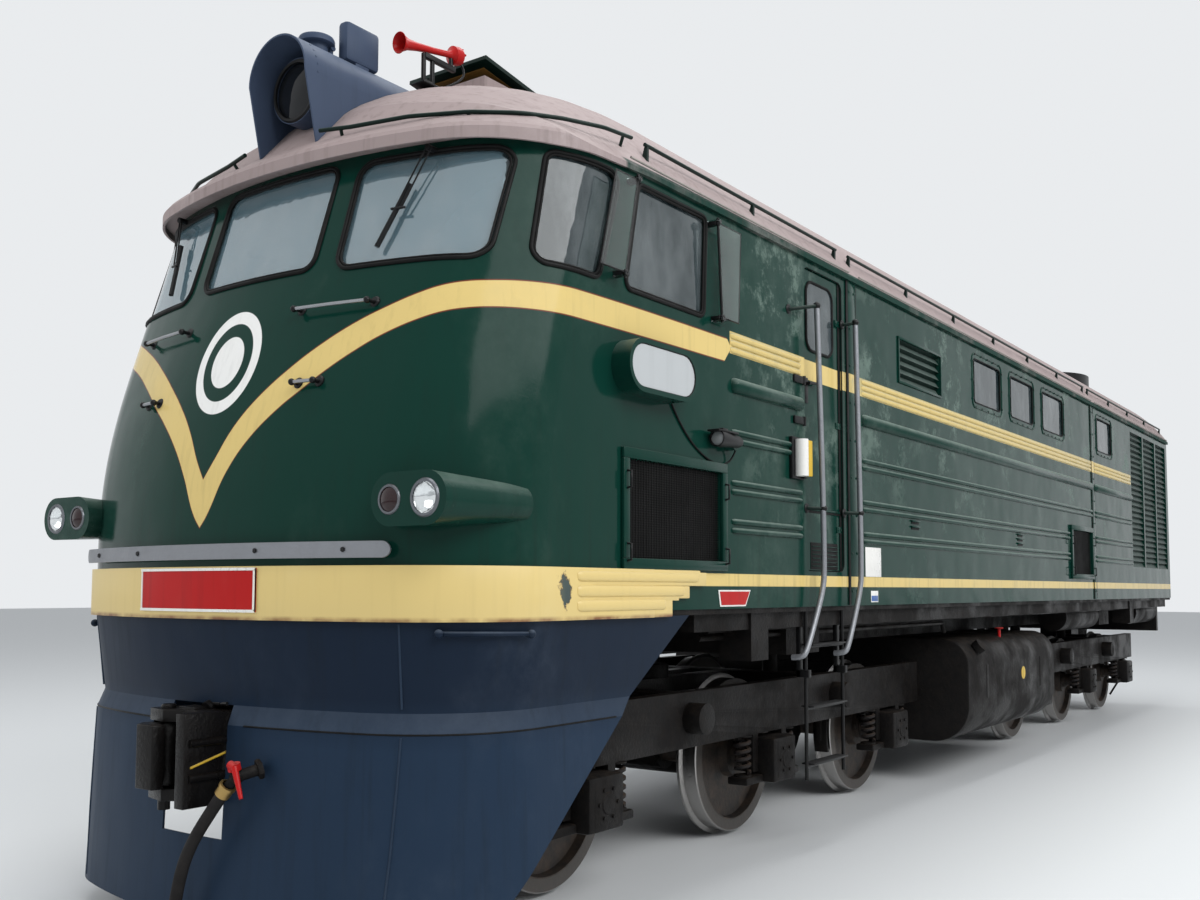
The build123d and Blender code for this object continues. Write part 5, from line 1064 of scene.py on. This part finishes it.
rods("horn_pipe", [horn_pipe], 0.007, black_paint, smooth=True)

# %% [markdown]
# On the lamp hood stand a vent with a mushroom cap and a sheet-metal case on a bent foot.
# Rivets follow the hood's front edge.

# %% Hood fittings
HOOD_R, HOOD_Z = 0.223, 4.368
case, rivets = Shape(LEFT), Shape(LEFT)
case.turned((0, -7.46, 4.60), UP, [
    (0.0, 0.085), (0.07, 0.083), (0.094, 0.074), (0.100, 0.062), (0.100, 0.040), (0.092, 0.034), (0.070, 0.033),
    (0.064, 0.026), (0.064, -0.03), (0.0, -0.03)])
case.block((0.072, -7.375, 4.560), (0.150, -7.130, 4.782), 0.022)
case.block((0.085, -7.30, 4.50), (0.140, -7.20, 4.57), 0.006)
case.bar((0.05, -7.40, 4.57), (0.05, -7.40, 4.63), 0.012, 10)
case.bar((0.03, -7.40, 4.628), (0.07, -7.40, 4.628), 0.016, 10)
case.piece("hood_vent_and_case", hood_paint, "skirt_paint", replaces="hood_fittings")
for a in (pi * k / 16 for k in range(17)):
    z = HOOD_Z + HOOD_R * sin(a)
    rivets.bolt((HOOD_R * cos(a), -7.66 if z > 4.6 else -7.64, z), (cos(a), 0, sin(a)), 0.006, 0.007)
rivets.piece("hood_rivets", hood_paint, "skirt_paint")

# %% [markdown]
# The wind deflectors are small glass leaves in front of and behind the cab side window,
# each on an upright black rod with a clamp at its head and foot.

# %% Deflector rods
LEAVES = [((-6.81, 3.27), (-7.03, 3.27), (-6.885, 3.78), (-6.69, 3.78)),
          ((-5.825, 3.225), (-5.635, 3.225), (-5.605, 3.765), (-5.87, 3.765))]
LEAF_X = HALF + 0.065
uprights = Shape()
for foot, free_foot, free_head, head in LEAVES:
    uprights.bar((LEAF_X, foot[0], foot[1] - 0.03), (LEAF_X, head[0], head[1] + 0.03), 0.008)
    for y, z in (foot, head):
        uprights.ball((LEAF_X, y, z), 0.018)
        uprights.block((WALL, y - 0.022, z - 0.012), (HALF + 0.06, y + 0.022, z + 0.012), 0.004)
uprights.piece("deflector_rods", black_paint, "black_iron")
leaf_edges = copies([at_x(LEAF_X, leaf) for leaf in LEAVES])
rods("deflector_edges", leaf_edges, 0.0055, black_paint, closed=True)

# %% [markdown]
# Each side door has a rubber seal, a window with its own rubber, a lever handle, three
# hinge straps and a small louvre at its foot, and dark lines for the gap round it. All of
# them ride on the door; the seal is on the wall.

# %% Side door fittings
LEAF = HALF - 0.018
ON_LEAF = LEAF + 0.0004
for name, places in (("left_door", LEFT), ("right_door", RIGHT)):
    pane, window, handle, dark_edge, slats = (Shape(places) for _ in range(5))
    pane.slab(at_x(LEAF - 0.022, rounded(upright(-4.54, -4.19, 3.29, 3.65), 0.06)), (0.006, 0, 0))
    pane.piece(f"{name}_pane", side_glass, "window_glass", name)
    wide = rounded(upright(-4.572, -4.165, 3.262, 3.728), 0.085)
    edge = copies([at_x(LEAF + 0.004, wide)], places)
    rods(f"{name}_pane_rubber", edge, 0.010, rubber, name, closed=True)
    window.slab(at_x(LEAF + 0.001, wide), (0.003, 0, 0))
    window.piece(f"{name}_window", side_glass, "window_glass", name)
    handle.block((LEAF, -4.60, 2.90), (LEAF + 0.006, -4.55, 3.07), 0.003)
    handle.bar((LEAF, -4.575, 3.03), (LEAF + 0.032, -4.575, 3.03), 0.013)
    handle.bar((LEAF + 0.030, -4.59, 3.03), (LEAF + 0.030, -4.43, 3.045), 0.010)
    handle.bar((LEAF, -4.575, 2.94), (LEAF + 0.008, -4.575, 2.94), 0.012, 16)
    handle.piece(f"{name}_handle", black_paint, "steel", name)
    for z in (2.08, 2.80, 3.52):
        slats.block((LEAF, -4.12, z - 0.022), (LEAF + 0.007, -4.045, z + 0.022), 0.003)
        for y in (-4.105, -4.065):
            slats.bolt((LEAF + 0.007, y, z), OUT, 0.006, 0.004)
    dark_edge.block((ON_LEAF, -4.53, 1.805), (LEAF + 0.003, -4.11, 1.982), 0.001)
    # Wide dark strip at the door's rear edge: partly rubber, partly painted shade in the gap.
    dark_edge.block((ON_LEAF, -4.074, 1.80), (LEAF + 0.006, -4.040, 3.80), 0.002)
    dark_edge.block((ON_LEAF, -4.585, 2.178), (LEAF + 0.006, -4.066, 2.192), 0.002)
    dark_edge.piece(f"{name}_dark_edge", rubber, "rubber", name)
    slats.block((LEAF, -4.575, 2.192), (LEAF + 0.011, -4.076, 2.204), 0.003)
    for z in (1.824 + k * 0.026 for k in range(6)):
        slats.block((LEAF + 0.003, -4.515, z), (LEAF + 0.009, -4.125, z + 0.005), 0.002)
    slats.piece(f"{name}_louvre", plain_green, "green_paint", name)
seal = at_x(HALF - 0.006, rounded(upright(-4.63, -4.03, 1.79, 3.81), 0.06))
rods("door_seals", copies([seal]), 0.0035, rubber, closed=True)

# %% [markdown]
# Small fittings sit along the sides: a frame round the louvre, three-slit vents, a lamp on
# a bracket with its wire clipped to the side, and on the left a small cabinet by the door,
# a small red plate and two cards, all blank.

# %% Small side fittings
LAMP_X, LAMP_Z = HALF + 0.062, 2.525
vents, slot_shade, lamps, lenses = Shape(), Shape(), Shape(), Shape()
for y, vent_z in ((-2.69, 2.20), (0.1, 2.16)):
    for z in (vent_z - 0.044, vent_z, vent_z + 0.044):
        vents.block((WALL, y - 0.090, z), (HALF + 0.016, y + 0.090, z + 0.014), 0.005)
        # Dark block under each slat: painted shade in the slit.
        slot_shade.block((WALL, y - 0.080, z - 0.016), (HALF + 0.004, y + 0.080, z), 0.001)
for y0, y1, z0, z1 in ((-3.0, -2.05, 3.262, 3.282), (-3.0, -2.05, 3.608, 3.628), (-3.0, -2.98, 3.282, 3.608),
                       (-2.07, -2.05, 3.282, 3.608)):
    vents.block((WALL, y0, z0), (HALF + 0.012, y1, z1), 0.004)
lamps.turned((LAMP_X, -5.80, LAMP_Z), AHEAD, [
    (0.0, -0.17), (0.030, -0.168), (0.036, -0.14), (0.040, -0.05), (0.050, 0.04), (0.050, 0.09), (0.044, 0.092),
    (0.044, 0.08), (0.0, 0.08)], 24)
lamps.block((LAMP_X - 0.040, -5.93, 2.560), (LAMP_X + 0.040, -5.70, 2.572), 0.005)
lamps.block((WALL, -5.76, 2.50), (HALF + 0.03, -5.70, 2.60), 0.004)
lenses.turned((LAMP_X, -5.878, LAMP_Z), AHEAD, [
    (0.0, 0.010), (0.03, 0.007), (0.044, 0.0), (0.044, -0.004), (0.0, -0.004)], 24)
slot_shade.piece("vent_slot_shade", rubber, "rubber")
vents.piece("side_vents", plain_green, "green_paint")
lamps.piece("side_lamps", black_paint, "green_paint")
lenses.piece("side_lamp_lenses", painted_reflection_lens, "lamp_glass")
wiring = at_x(HALF + 0.007, [(-6.28, 2.676), (-6.22, 2.60), (-6.06, 2.47), (-5.87, 2.395), (-5.72, 2.385)])
wiring += [(HALF + 0.02, -5.63, 2.43), (HALF + 0.055, -5.635, 2.515)]
rods("side_lamp_wiring", copies([wiring]), 0.0055, rubber, smooth=True)

plate, cards, blue, cabinet, cover, holder = (Shape(LEFT) for _ in range(6))
cards.slab(at_x(WALL, [(-5.756, 1.573), (-5.456, 1.573), (-5.396, 1.668), (-5.776, 1.668)]), (0.003, 0, 0))
plate.slab(at_x(HALF + 0.003, [(-5.744, 1.582), (-5.464, 1.582), (-5.412, 1.659), (-5.762, 1.659)]), (0.004, 0, 0))
cards.block((WALL, -3.674, 1.764), (HALF + 0.003, -3.388, 1.976), 0.001)
cards.block((WALL, -3.582, 1.581), (HALF + 0.003, -3.451, 1.663), 0.001)
blue.block((HALF + 0.003, -3.575, 1.588), (HALF + 0.0038, -3.458, 1.628), 0.0003)
cabinet.bar((HALF + 0.052, -4.79, 2.395), (HALF + 0.052, -4.79, 2.632), 0.044, 28)
cover.block((WALL, -4.702, 2.402), (HALF + 0.060, -4.642, 2.636), 0.006)
holder.block((WALL, -4.865, 2.378), (HALF + 0.026, -4.700, 2.648), 0.004)
holder.block((WALL, -4.745, 2.385), (HALF + 0.050, -4.705, 2.645), 0.003)
for z in (2.766, 3.034):
    holder.block((WALL, -4.805, z - 0.025), (HALF + 0.018, -4.675, z + 0.025), 0.006)
    holder.bar((HALF + 0.012, -4.66, z - 0.03), (HALF + 0.012, -4.66, z + 0.03), 0.011, 10)
blue.piece("small_blue_field", blue_enamel, "cream_paint")
holder.piece("side_cabinet_holder", black_paint, "black_iron")
plate.piece("small_red_plate", red_paint, "red_paint")
cards.piece("blank_cards", white_enamel, "cream_paint")
cabinet.piece("side_cabinet", white_enamel, "cream_paint")
cover.piece("side_cabinet_cover", yellow_paint, "cream_paint")

# %% [markdown]
# The nose carries its own small parts: a white line round the blank red plate, feet on
# the grab irons, and four bolts on the long bar.

# %% Nose fittings
PLATE_FRONT, PLATE_R, BOLT_FRONT, BOLT_R, BAR_Z = -8.166, 3.836, -8.184, 3.854, 1.845
border, feet, bolts = Shape(LEFT), Shape(), Shape()
for x0, x1, z0, z1, steps in ((-0.442, 0.442, 1.757, 1.766, 16), (-0.442, 0.442, 1.562, 1.571, 16),
                              (-0.442, -0.433, 1.571, 1.757, 1), (0.433, 0.442, 1.571, 1.757, 1)):
    for k in range(steps):
        a, b = (x0 + (x1 - x0) * n / steps for n in (k, k + 1))
        y = PLATE_FRONT + arc_back(PLATE_R, (a + b) / 2) - 0.002
        border.block((a, y - 0.002, z0 - 0.002), (b, y + 0.010, z1 + 0.002))
GRABS = [(0.445, 0.871, 3.019, 0.055, 0.012), (0.546, 0.670, 2.640, 0.042, 0.010)]
for x0, x1, z, stand, foot in GRABS:
    for x in (x0, x1):
        y = nose_y(x, z)
        feet.turned((x, y, z), (0, -1, 0.3), [
            (0.0, foot), (0.022, foot), (0.028, 0.004), (0.028, -0.006), (0.0, -0.006)], 16)
        feet.bar((x, y, z), (x, y - stand, z), 0.010)
        feet.ball((x, y - stand, z), 0.017)
for x in (0.46, 0.95):
    bolts.bolt((x, BOLT_FRONT + arc_back(BOLT_R, x) - 0.001, BAR_Z), AHEAD, 0.012, 0.006)
border.piece("plate_border", white_enamel, "cream_paint")
feet.piece("grab_feet", black_paint, "black_iron")
bolts.piece("bar_bolts", black_paint, "steel")

# %% [markdown]
# The brake cock is a black pipe elbow with a red lever. It stands where the frame's cock
# is, and the hose hangs from it.

# %% Brake cock
body, lever = Shape(LEFT), Shape(LEFT)
elbow, seat = Vector((0.455, -8.225, 0.825)), Vector((0.500, -8.135, 0.852))
body.bar(hose_top - up_hose * 0.01, elbow, 0.024, 20)
body.ball(elbow, 0.034, 16)
body.bar(elbow, seat, 0.027, 20)
body.turned(seat, elbow - seat, [(0.0, -0.012), (0.044, -0.012), (0.048, 0.0), (0.044, 0.012), (0.0, 0.012)], 6)
for start, end, radius, segments, end_radius in (
        ((0.0, -0.012, 0.030), (0.0, -0.020, 0.060), 0.030, 16, 0.030),
        ((-0.01, -0.028, 0.055), (0.030, -0.034, 0.045), 0.020, 12, 0.016),
        ((0.025, -0.034, 0.050), (0.085, -0.040, -0.085), 0.016, 12, 0.009)):
    lever.bar(elbow + Vector(start), elbow + Vector(end), radius, segments, end_radius)
body.piece("cock_body", black_iron, "black_iron", replaces="hose_cock")
lever.piece("cock_lever", red_paint, "red_paint", replaces="hose_cock")

# %% [markdown]
# The cream band carries three rounded ribs that end one behind the other, and the band's
# own end is cut in steps to match. A rib is a flattened half-round section drawn along
# the wall; its ends run out softly.

# %% Ribs on the band
BAND_OUT = HALF + 0.0262
ribs = Shape()
for z, height, back in ((1.734, 0.050, -6.035), (1.662, 0.056, -6.185), (1.592, 0.056, -6.370)):
    ribs.ridge(-7.150, back, z, height, 0.013, BAND_OUT)
for low, high, back in ((1.690, 1.7748, -6.010), (1.622, 1.690, -6.125), (1.5252, 1.622, -6.300)):
    ribs.block((HALF + 0.0002, -6.70, low), (BAND_OUT - 0.0004, back, high), 0.006)
ribs.piece("band_ribs", cream_paint, "cream_paint", replaces="nose_band", sharp=50)
softened("band_plate", "nose_band", 0.004, cream_paint, "cream_paint")

# %% [markdown]
# Long half-round beads stiffen the side sheets. Some are fat single beads and the others
# are narrow pairs; the three under the stripe are painted with it. Bolted cover strips
# close the two joints between the body's sections.

# %% Side beads and joint strips
CAB, MIDDLE, MIDDLE_LOW, REAR = (-5.61, -4.69), (-3.70, 3.0), (-3.70, 1.96), (3.16, 5.13)
BEADS = [(2.872, 0.092, CAB, 0.042), (2.887, 0.088, MIDDLE, 0.036), (2.887, 0.088, REAR, 0.036)]
for level, middle in ((2.568, MIDDLE), (2.268, MIDDLE_LOW), (2.040, MIDDLE_LOW)):
    BEADS += [(z, 0.036, run, 0.021) for z in (level - 0.026, level + 0.026) for run in (CAB, middle, REAR)]
BEADS += [(z, 0.038, run, 0.014) for z in (3.082, 3.125, 3.168) for run in ((-5.62, -4.69), MIDDLE, REAR)]
STRIP_X, STRIP_LOW, STRIP_HIGH = HALF + 0.009, 1.565, 3.90
beads, strips, seams = Shape(), Shape(), Shape()
for z, height, (front, back), depth in BEADS:
    beads.ridge(front, back, z, height, depth, HALF + 0.0002)
for middle, width, gap in ((-3.875, 0.130, 0.030), (3.08, 0.120, 0.010)):
    front, back = middle - width / 2, middle + width / 2
    strips.block((HALF + 0.0002, front, STRIP_LOW), (STRIP_X, back, STRIP_HIGH), 0.003)
    for z in (1.66 + k * 0.265 for k in range(9)):
        for y in (front + 0.022, back - 0.022):
            strips.bolt((STRIP_X, y, z), OUT, 0.009, 0.005)
    for y0, y1 in ((front - gap, front), (back, back + 0.008)):
        seams.block((HALF - 0.001, y0, STRIP_LOW), (STRIP_X - 0.0005, y1, STRIP_HIGH))
# The beads' paint makes their upper halves paler: partly dust, partly a painted highlight.
beads.piece("pressed_beads", bead_dust_and_highlight_paint, "green_paint", replaces="side_beads", sharp=50)
strips.piece("joint_covers", green_paint, "green_paint", replaces="side_beads")
seams.piece("joint_rubbers", rubber, "rubber")

# %% [markdown]
# Two handrails stand at each side door, and a black ladder hangs below it. The front rail's
# foot sits ahead of the door, so its top arm slants; both lean forward below the floor and
# turn in to the ladder's stiles.

# %% Handrails and ladders
RAIL_X, LADDER_X, STILES = 1.620, 1.500, (-4.57, -4.00)
BENDS = [(1.620, 2.50), (1.620, 1.80), (1.618, 1.68), (1.600, 1.46), (1.590, 1.28), (1.570, 1.24), (LADDER_X, 1.24)]
rails, arms, rungs, knobs = [], [], [], Shape()
for top, places in ((3.532, (-4.603, -4.545, -4.530, -4.545, -4.640, -4.740, -4.765, -4.765)),
                    (3.535, (-3.981, -3.945, -3.930, -3.945, -4.020, -4.105, -4.125, -4.125))):
    rails.append([(x, y, z) for (x, z), y in zip([(RAIL_X, top), *BENDS], places)])
for wall_y, rail_y, z0, z1 in ((-4.86, -4.603, 3.472, 3.532), (-4.03, -3.981, 3.522, 3.535),
                               (-4.62, -4.534, 2.20, 2.20), (-4.03, -3.934, 2.20, 2.20)):
    arms.append([(HALF - 0.001, wall_y, z0), (1.575, wall_y + 0.01, z0), (RAIL_X, rail_y, z1)])
    knobs.ball((RAIL_X, rail_y, z1), 0.026, 16)
    knobs.turned((HALF, wall_y, z0), OUT, [
        (0.0, 0.010), (0.026, 0.010), (0.032, 0.004), (0.032, 0.0), (0.0, 0.0)], 16)
for y in STILES:
    rungs.append([(LADDER_X, y, 1.53), (LADDER_X, y, 0.44)])
    for x, high in ((1.530, 1.15), (1.47, 1.50)):
        knobs.block((1.44, y - 0.02, 1.10), (x, y + 0.02, high), 0.004)
for z in (1.30, 0.90, 0.53):
    rungs.append([(LADDER_X, y, z) for y in STILES])
    knobs.block((LADDER_X - 0.045, -4.55, z + 0.006), (LADDER_X + 0.045, -4.02, z + 0.016), 0.002)
rods("door_rails", copies(rails), 0.0190, rail_steel, replaces="handrails", smooth=True)
rods("rail_arms", copies(arms), 0.012, dark_green, replaces="handrails")
rods("ladder_rungs", copies(rungs), 0.0125, black_paint, replaces="handrails")
knobs.piece("rail_knobs", black_paint, "steel", replaces="handrails")

# %% [markdown]
# The bar across the nose is a flat polished strip on stand-off blocks, with rounded ends.
# The grab irons beside it are plain rods; those on the skirt are painted with it.

# %% Nose bar and grab irons
BAR_HALF, END_R, BAR_BACK, BAR_FRONT = 1.156, 0.037, 0.044, 0.056


def bar_face(x, out, rise=0.0):
    """Point out ahead of the nose at the bar's height, or above it."""
    slope = x / FRONT_R
    return (x + out * slope, nose_y(x, BAR_Z) - out * sqrt(1 - slope**2), BAR_Z + rise)


strip, blocks = Shape(LEFT), Shape(LEFT)
round_end = [END_R * (1 - cos(pi / 2 * k / 8)) for k in range(9)]
straight = [END_R + 2 * (BAR_HALF - END_R) * k / 32 for k in range(1, 32)]
rings = []
for along in round_end + straight + [2 * BAR_HALF - e for e in reversed(round_end)]:
    x = along - BAR_HALF
    into_end = max(END_R - BAR_HALF + abs(x), 0)
    half = max(sqrt(max(END_R**2 - into_end**2, 0)), 0.004)
    rings.append([bar_face(x, BAR_BACK, -half), bar_face(x, BAR_FRONT, -half), bar_face(x, BAR_FRONT, half),
                  bar_face(x, BAR_BACK, half)])
strip.loft(rings)
for x in (-1.06, -0.80, -0.46, 0.0, 0.46, 0.80, 1.06):
    blocks.bar(bar_face(x, -0.004), bar_face(x, BAR_BACK), 0.016)
strip.piece("polished_bar", rail_steel, "steel", replaces="nose_bar")
blocks.piece("bar_standoffs", plain_green, "steel", replaces="nose_bar")

grab_lines = [[nose_point(x, z, stand) for x in (x0, (x0 + x1) / 2, x1)] for x0, x1, z, stand, foot in GRABS]
skirt_line = [(1.285, -7.800, 1.474), (1.330, -7.850, 1.474), (1.455, -7.700, 1.472), (1.545, -7.470, 1.468),
              (1.505, -7.440, 1.468)]
rods("grab_rods", copies(grab_lines), 0.0090, bright_steel, replaces="grab_irons")
rods("skirt_grab_rods", copies([skirt_line]), 0.0115, skirt_paint, replaces="grab_irons")
knees = Shape()
for place in (skirt_line[1], skirt_line[3]):
    knees.ball(place, 0.021, 16)
knees.piece("skirt_grab_ends", skirt_paint, "steel", replaces="grab_irons")

# %% [markdown]
# The skirt is folded from plates: a weld runs down each front corner and a dark line lies
# under its sloping ledge. The line's plan is the nose's, but smaller.

# %% Skirt welds
welds = [[(1.168, -7.932, 1.515), (1.160, -7.912, 1.34), (1.153, -7.891, 1.14)],
         [(1.172, -7.913, 1.02), (1.165, -7.928, 0.80), (1.151, -7.950, 0.50), (1.120, -7.978, 0.13)]]
rods("skirt_welds", copies(welds), 0.0055, weld_paint)
LEDGE_FRONT, LEDGE_HALF, LEDGE_Z = -8.117, 1.4895, 1.030
centre_x, centre_y = LEDGE_HALF - CORNER_R, corner_centre(LEDGE_FRONT, LEDGE_HALF)
meet = FRONT_R * centre_x / (FRONT_R - CORNER_R)
ledge = [(meet * k / 12, LEDGE_FRONT + arc_back(FRONT_R, meet * k / 12)) for k in range(4, 13)]
corner_turn = atan2(centre_y - ledge[-1][1], ledge[-1][0] - centre_x)
for a in (corner_turn * (1 - k / 12) for k in range(1, 13)):
    ledge.append((centre_x + CORNER_R * cos(a), centre_y - CORNER_R * sin(a)))
ledge = [(x, y, LEDGE_Z) for x, y in (*ledge, (LEDGE_HALF, -6.72))]
rods("skirt_ledge_line", [*copies([ledge[::-1]], RIGHT), ledge], 0.0045, rubber)

# %% [markdown]
# Each coupler's casting has more on it than its main shape: a ribbed guard arm, a pin with
# a flat head, a short lifting rod, and a line of yellow paint.

# %% Coupler details
details, marks = Shape(ENDS), Shape(ENDS)
details.turned((-0.125, -8.185, 1.097), UP, [
    (0.0, 0.020), (0.030, 0.018), (0.036, 0.010), (0.036, 0.0), (0.0, 0.0)], 20)
for z in (0.80, 0.96):
    details.bar((0.214, -8.31, z), (0.214, -8.09, z), 0.020)
details.bar((0.05, -8.10, 1.094), (0.05, -8.02, 1.125), 0.034, 16)
details.bar((0.05, -8.075, 1.12), (0.13, -8.075, 1.12), 0.012, 10)
details.bar((-0.195, -8.15, 0.655), (-0.195, -8.15, 0.60), 0.03)
marks.bar((0.2165, -8.30, 0.850), (0.2165, -8.10, 0.905), 0.006, 8)
details.piece("coupler_details", oily_iron, "black_iron")
marks.piece("coupler_paint_lines", yellow_paint, "red_paint")
lift_rods = copies([[(0.13, -8.075, 1.12), (0.19, -8.085, 1.125)]], ENDS)
rods("coupler_lift_rods", lift_rods, 0.009, black_paint)

# %% [markdown]
# Under the floor run pipes: a train pipe and a shorter one along each side, and sand pipes
# to the outer wheels.

# %% Underfloor pipes
pipes = [[(1.36, -5.6, 1.43), (1.36, 7.3, 1.43)], [(1.30, -5.6, 1.38), (1.30, -1.45, 1.38), (1.30, -1.40, 1.30)]]
rods("train_pipes", copies(pipes), 0.019, black_iron)
sand_pipe = [(0.98, -7.12, 0.72), (0.94, -7.10, 0.40), (0.80, -7.00, 0.14)]
for name, way in (("front", 1), ("rear", -1)):
    lines = copies([sand_pipe], ((1, way), (-1, way)))
    rods(f"{name}_sand_pipes", lines, 0.014, black_iron, f"{name}_bogie")

# %% [markdown]
# The roof hatch stands a little open, so its brown lining shows. The lining is laid on the
# largest face of the lid that looks down, whatever angle the lid rests at.

# %% Hatch lining
LINING_HALF = Vector((0.245, 0.20, 0.003))
lid_bm = bmesh.new()
lid_bm.from_mesh(nodes["roof_hatch"].data)
bmesh.ops.remove_doubles(lid_bm, verts=lid_bm.verts, dist=0.0001)
bmesh.ops.dissolve_limit(lid_bm, angle_limit=radians(1), verts=lid_bm.verts, edges=lid_bm.edges)
under = max((f for f in lid_bm.faces if f.normal.z < -0.8), key=lambda f: f.calc_area())
down, middle = under.normal.copy(), under.calc_center_bounds()
lid_bm.free()
lining = Shape(LEFT)
tilt = Vector((0, 0, -1)).rotation_difference(down).to_matrix().to_4x4()
lining.block(middle + down * 0.002 - LINING_HALF, middle + down * 0.002 + LINING_HALF, 0.002, tilt)
lining.piece("hatch_lining", brown_paint, "green_paint", "roof_hatch")

# %% [markdown]
# A narrow gutter runs along each eave, paler than the wall, and each small side window has
# a screwed frame round its rubber.

# %% Gutters and window frames
gutters = [[(1.5655, y, 3.908) for y in ends] for ends in ((-6.70, -3.96), (-3.78, 3.00), (3.16, 7.60))]
rods("gutters", copies(gutters), 0.0065, roof_gutter)
frame_loops = [at_x(WALL, rounded(grown(quad, 0.040), 0.075)) for quad in SIDE_WINDOWS]
rods("side_window_frames", copies(frame_loops), 0.007, plain_green, closed=True)
screws = Shape()
for quad in SIDE_WINDOWS:
    for y, z in rounded(grown(quad, 0.036), 0.072, 0.14, 1):
        screws.bolt((HALF + 0.002, y, z), OUT, 0.0085, 0.010)
screws.piece("side_window_screws", dark_green, "green_paint")
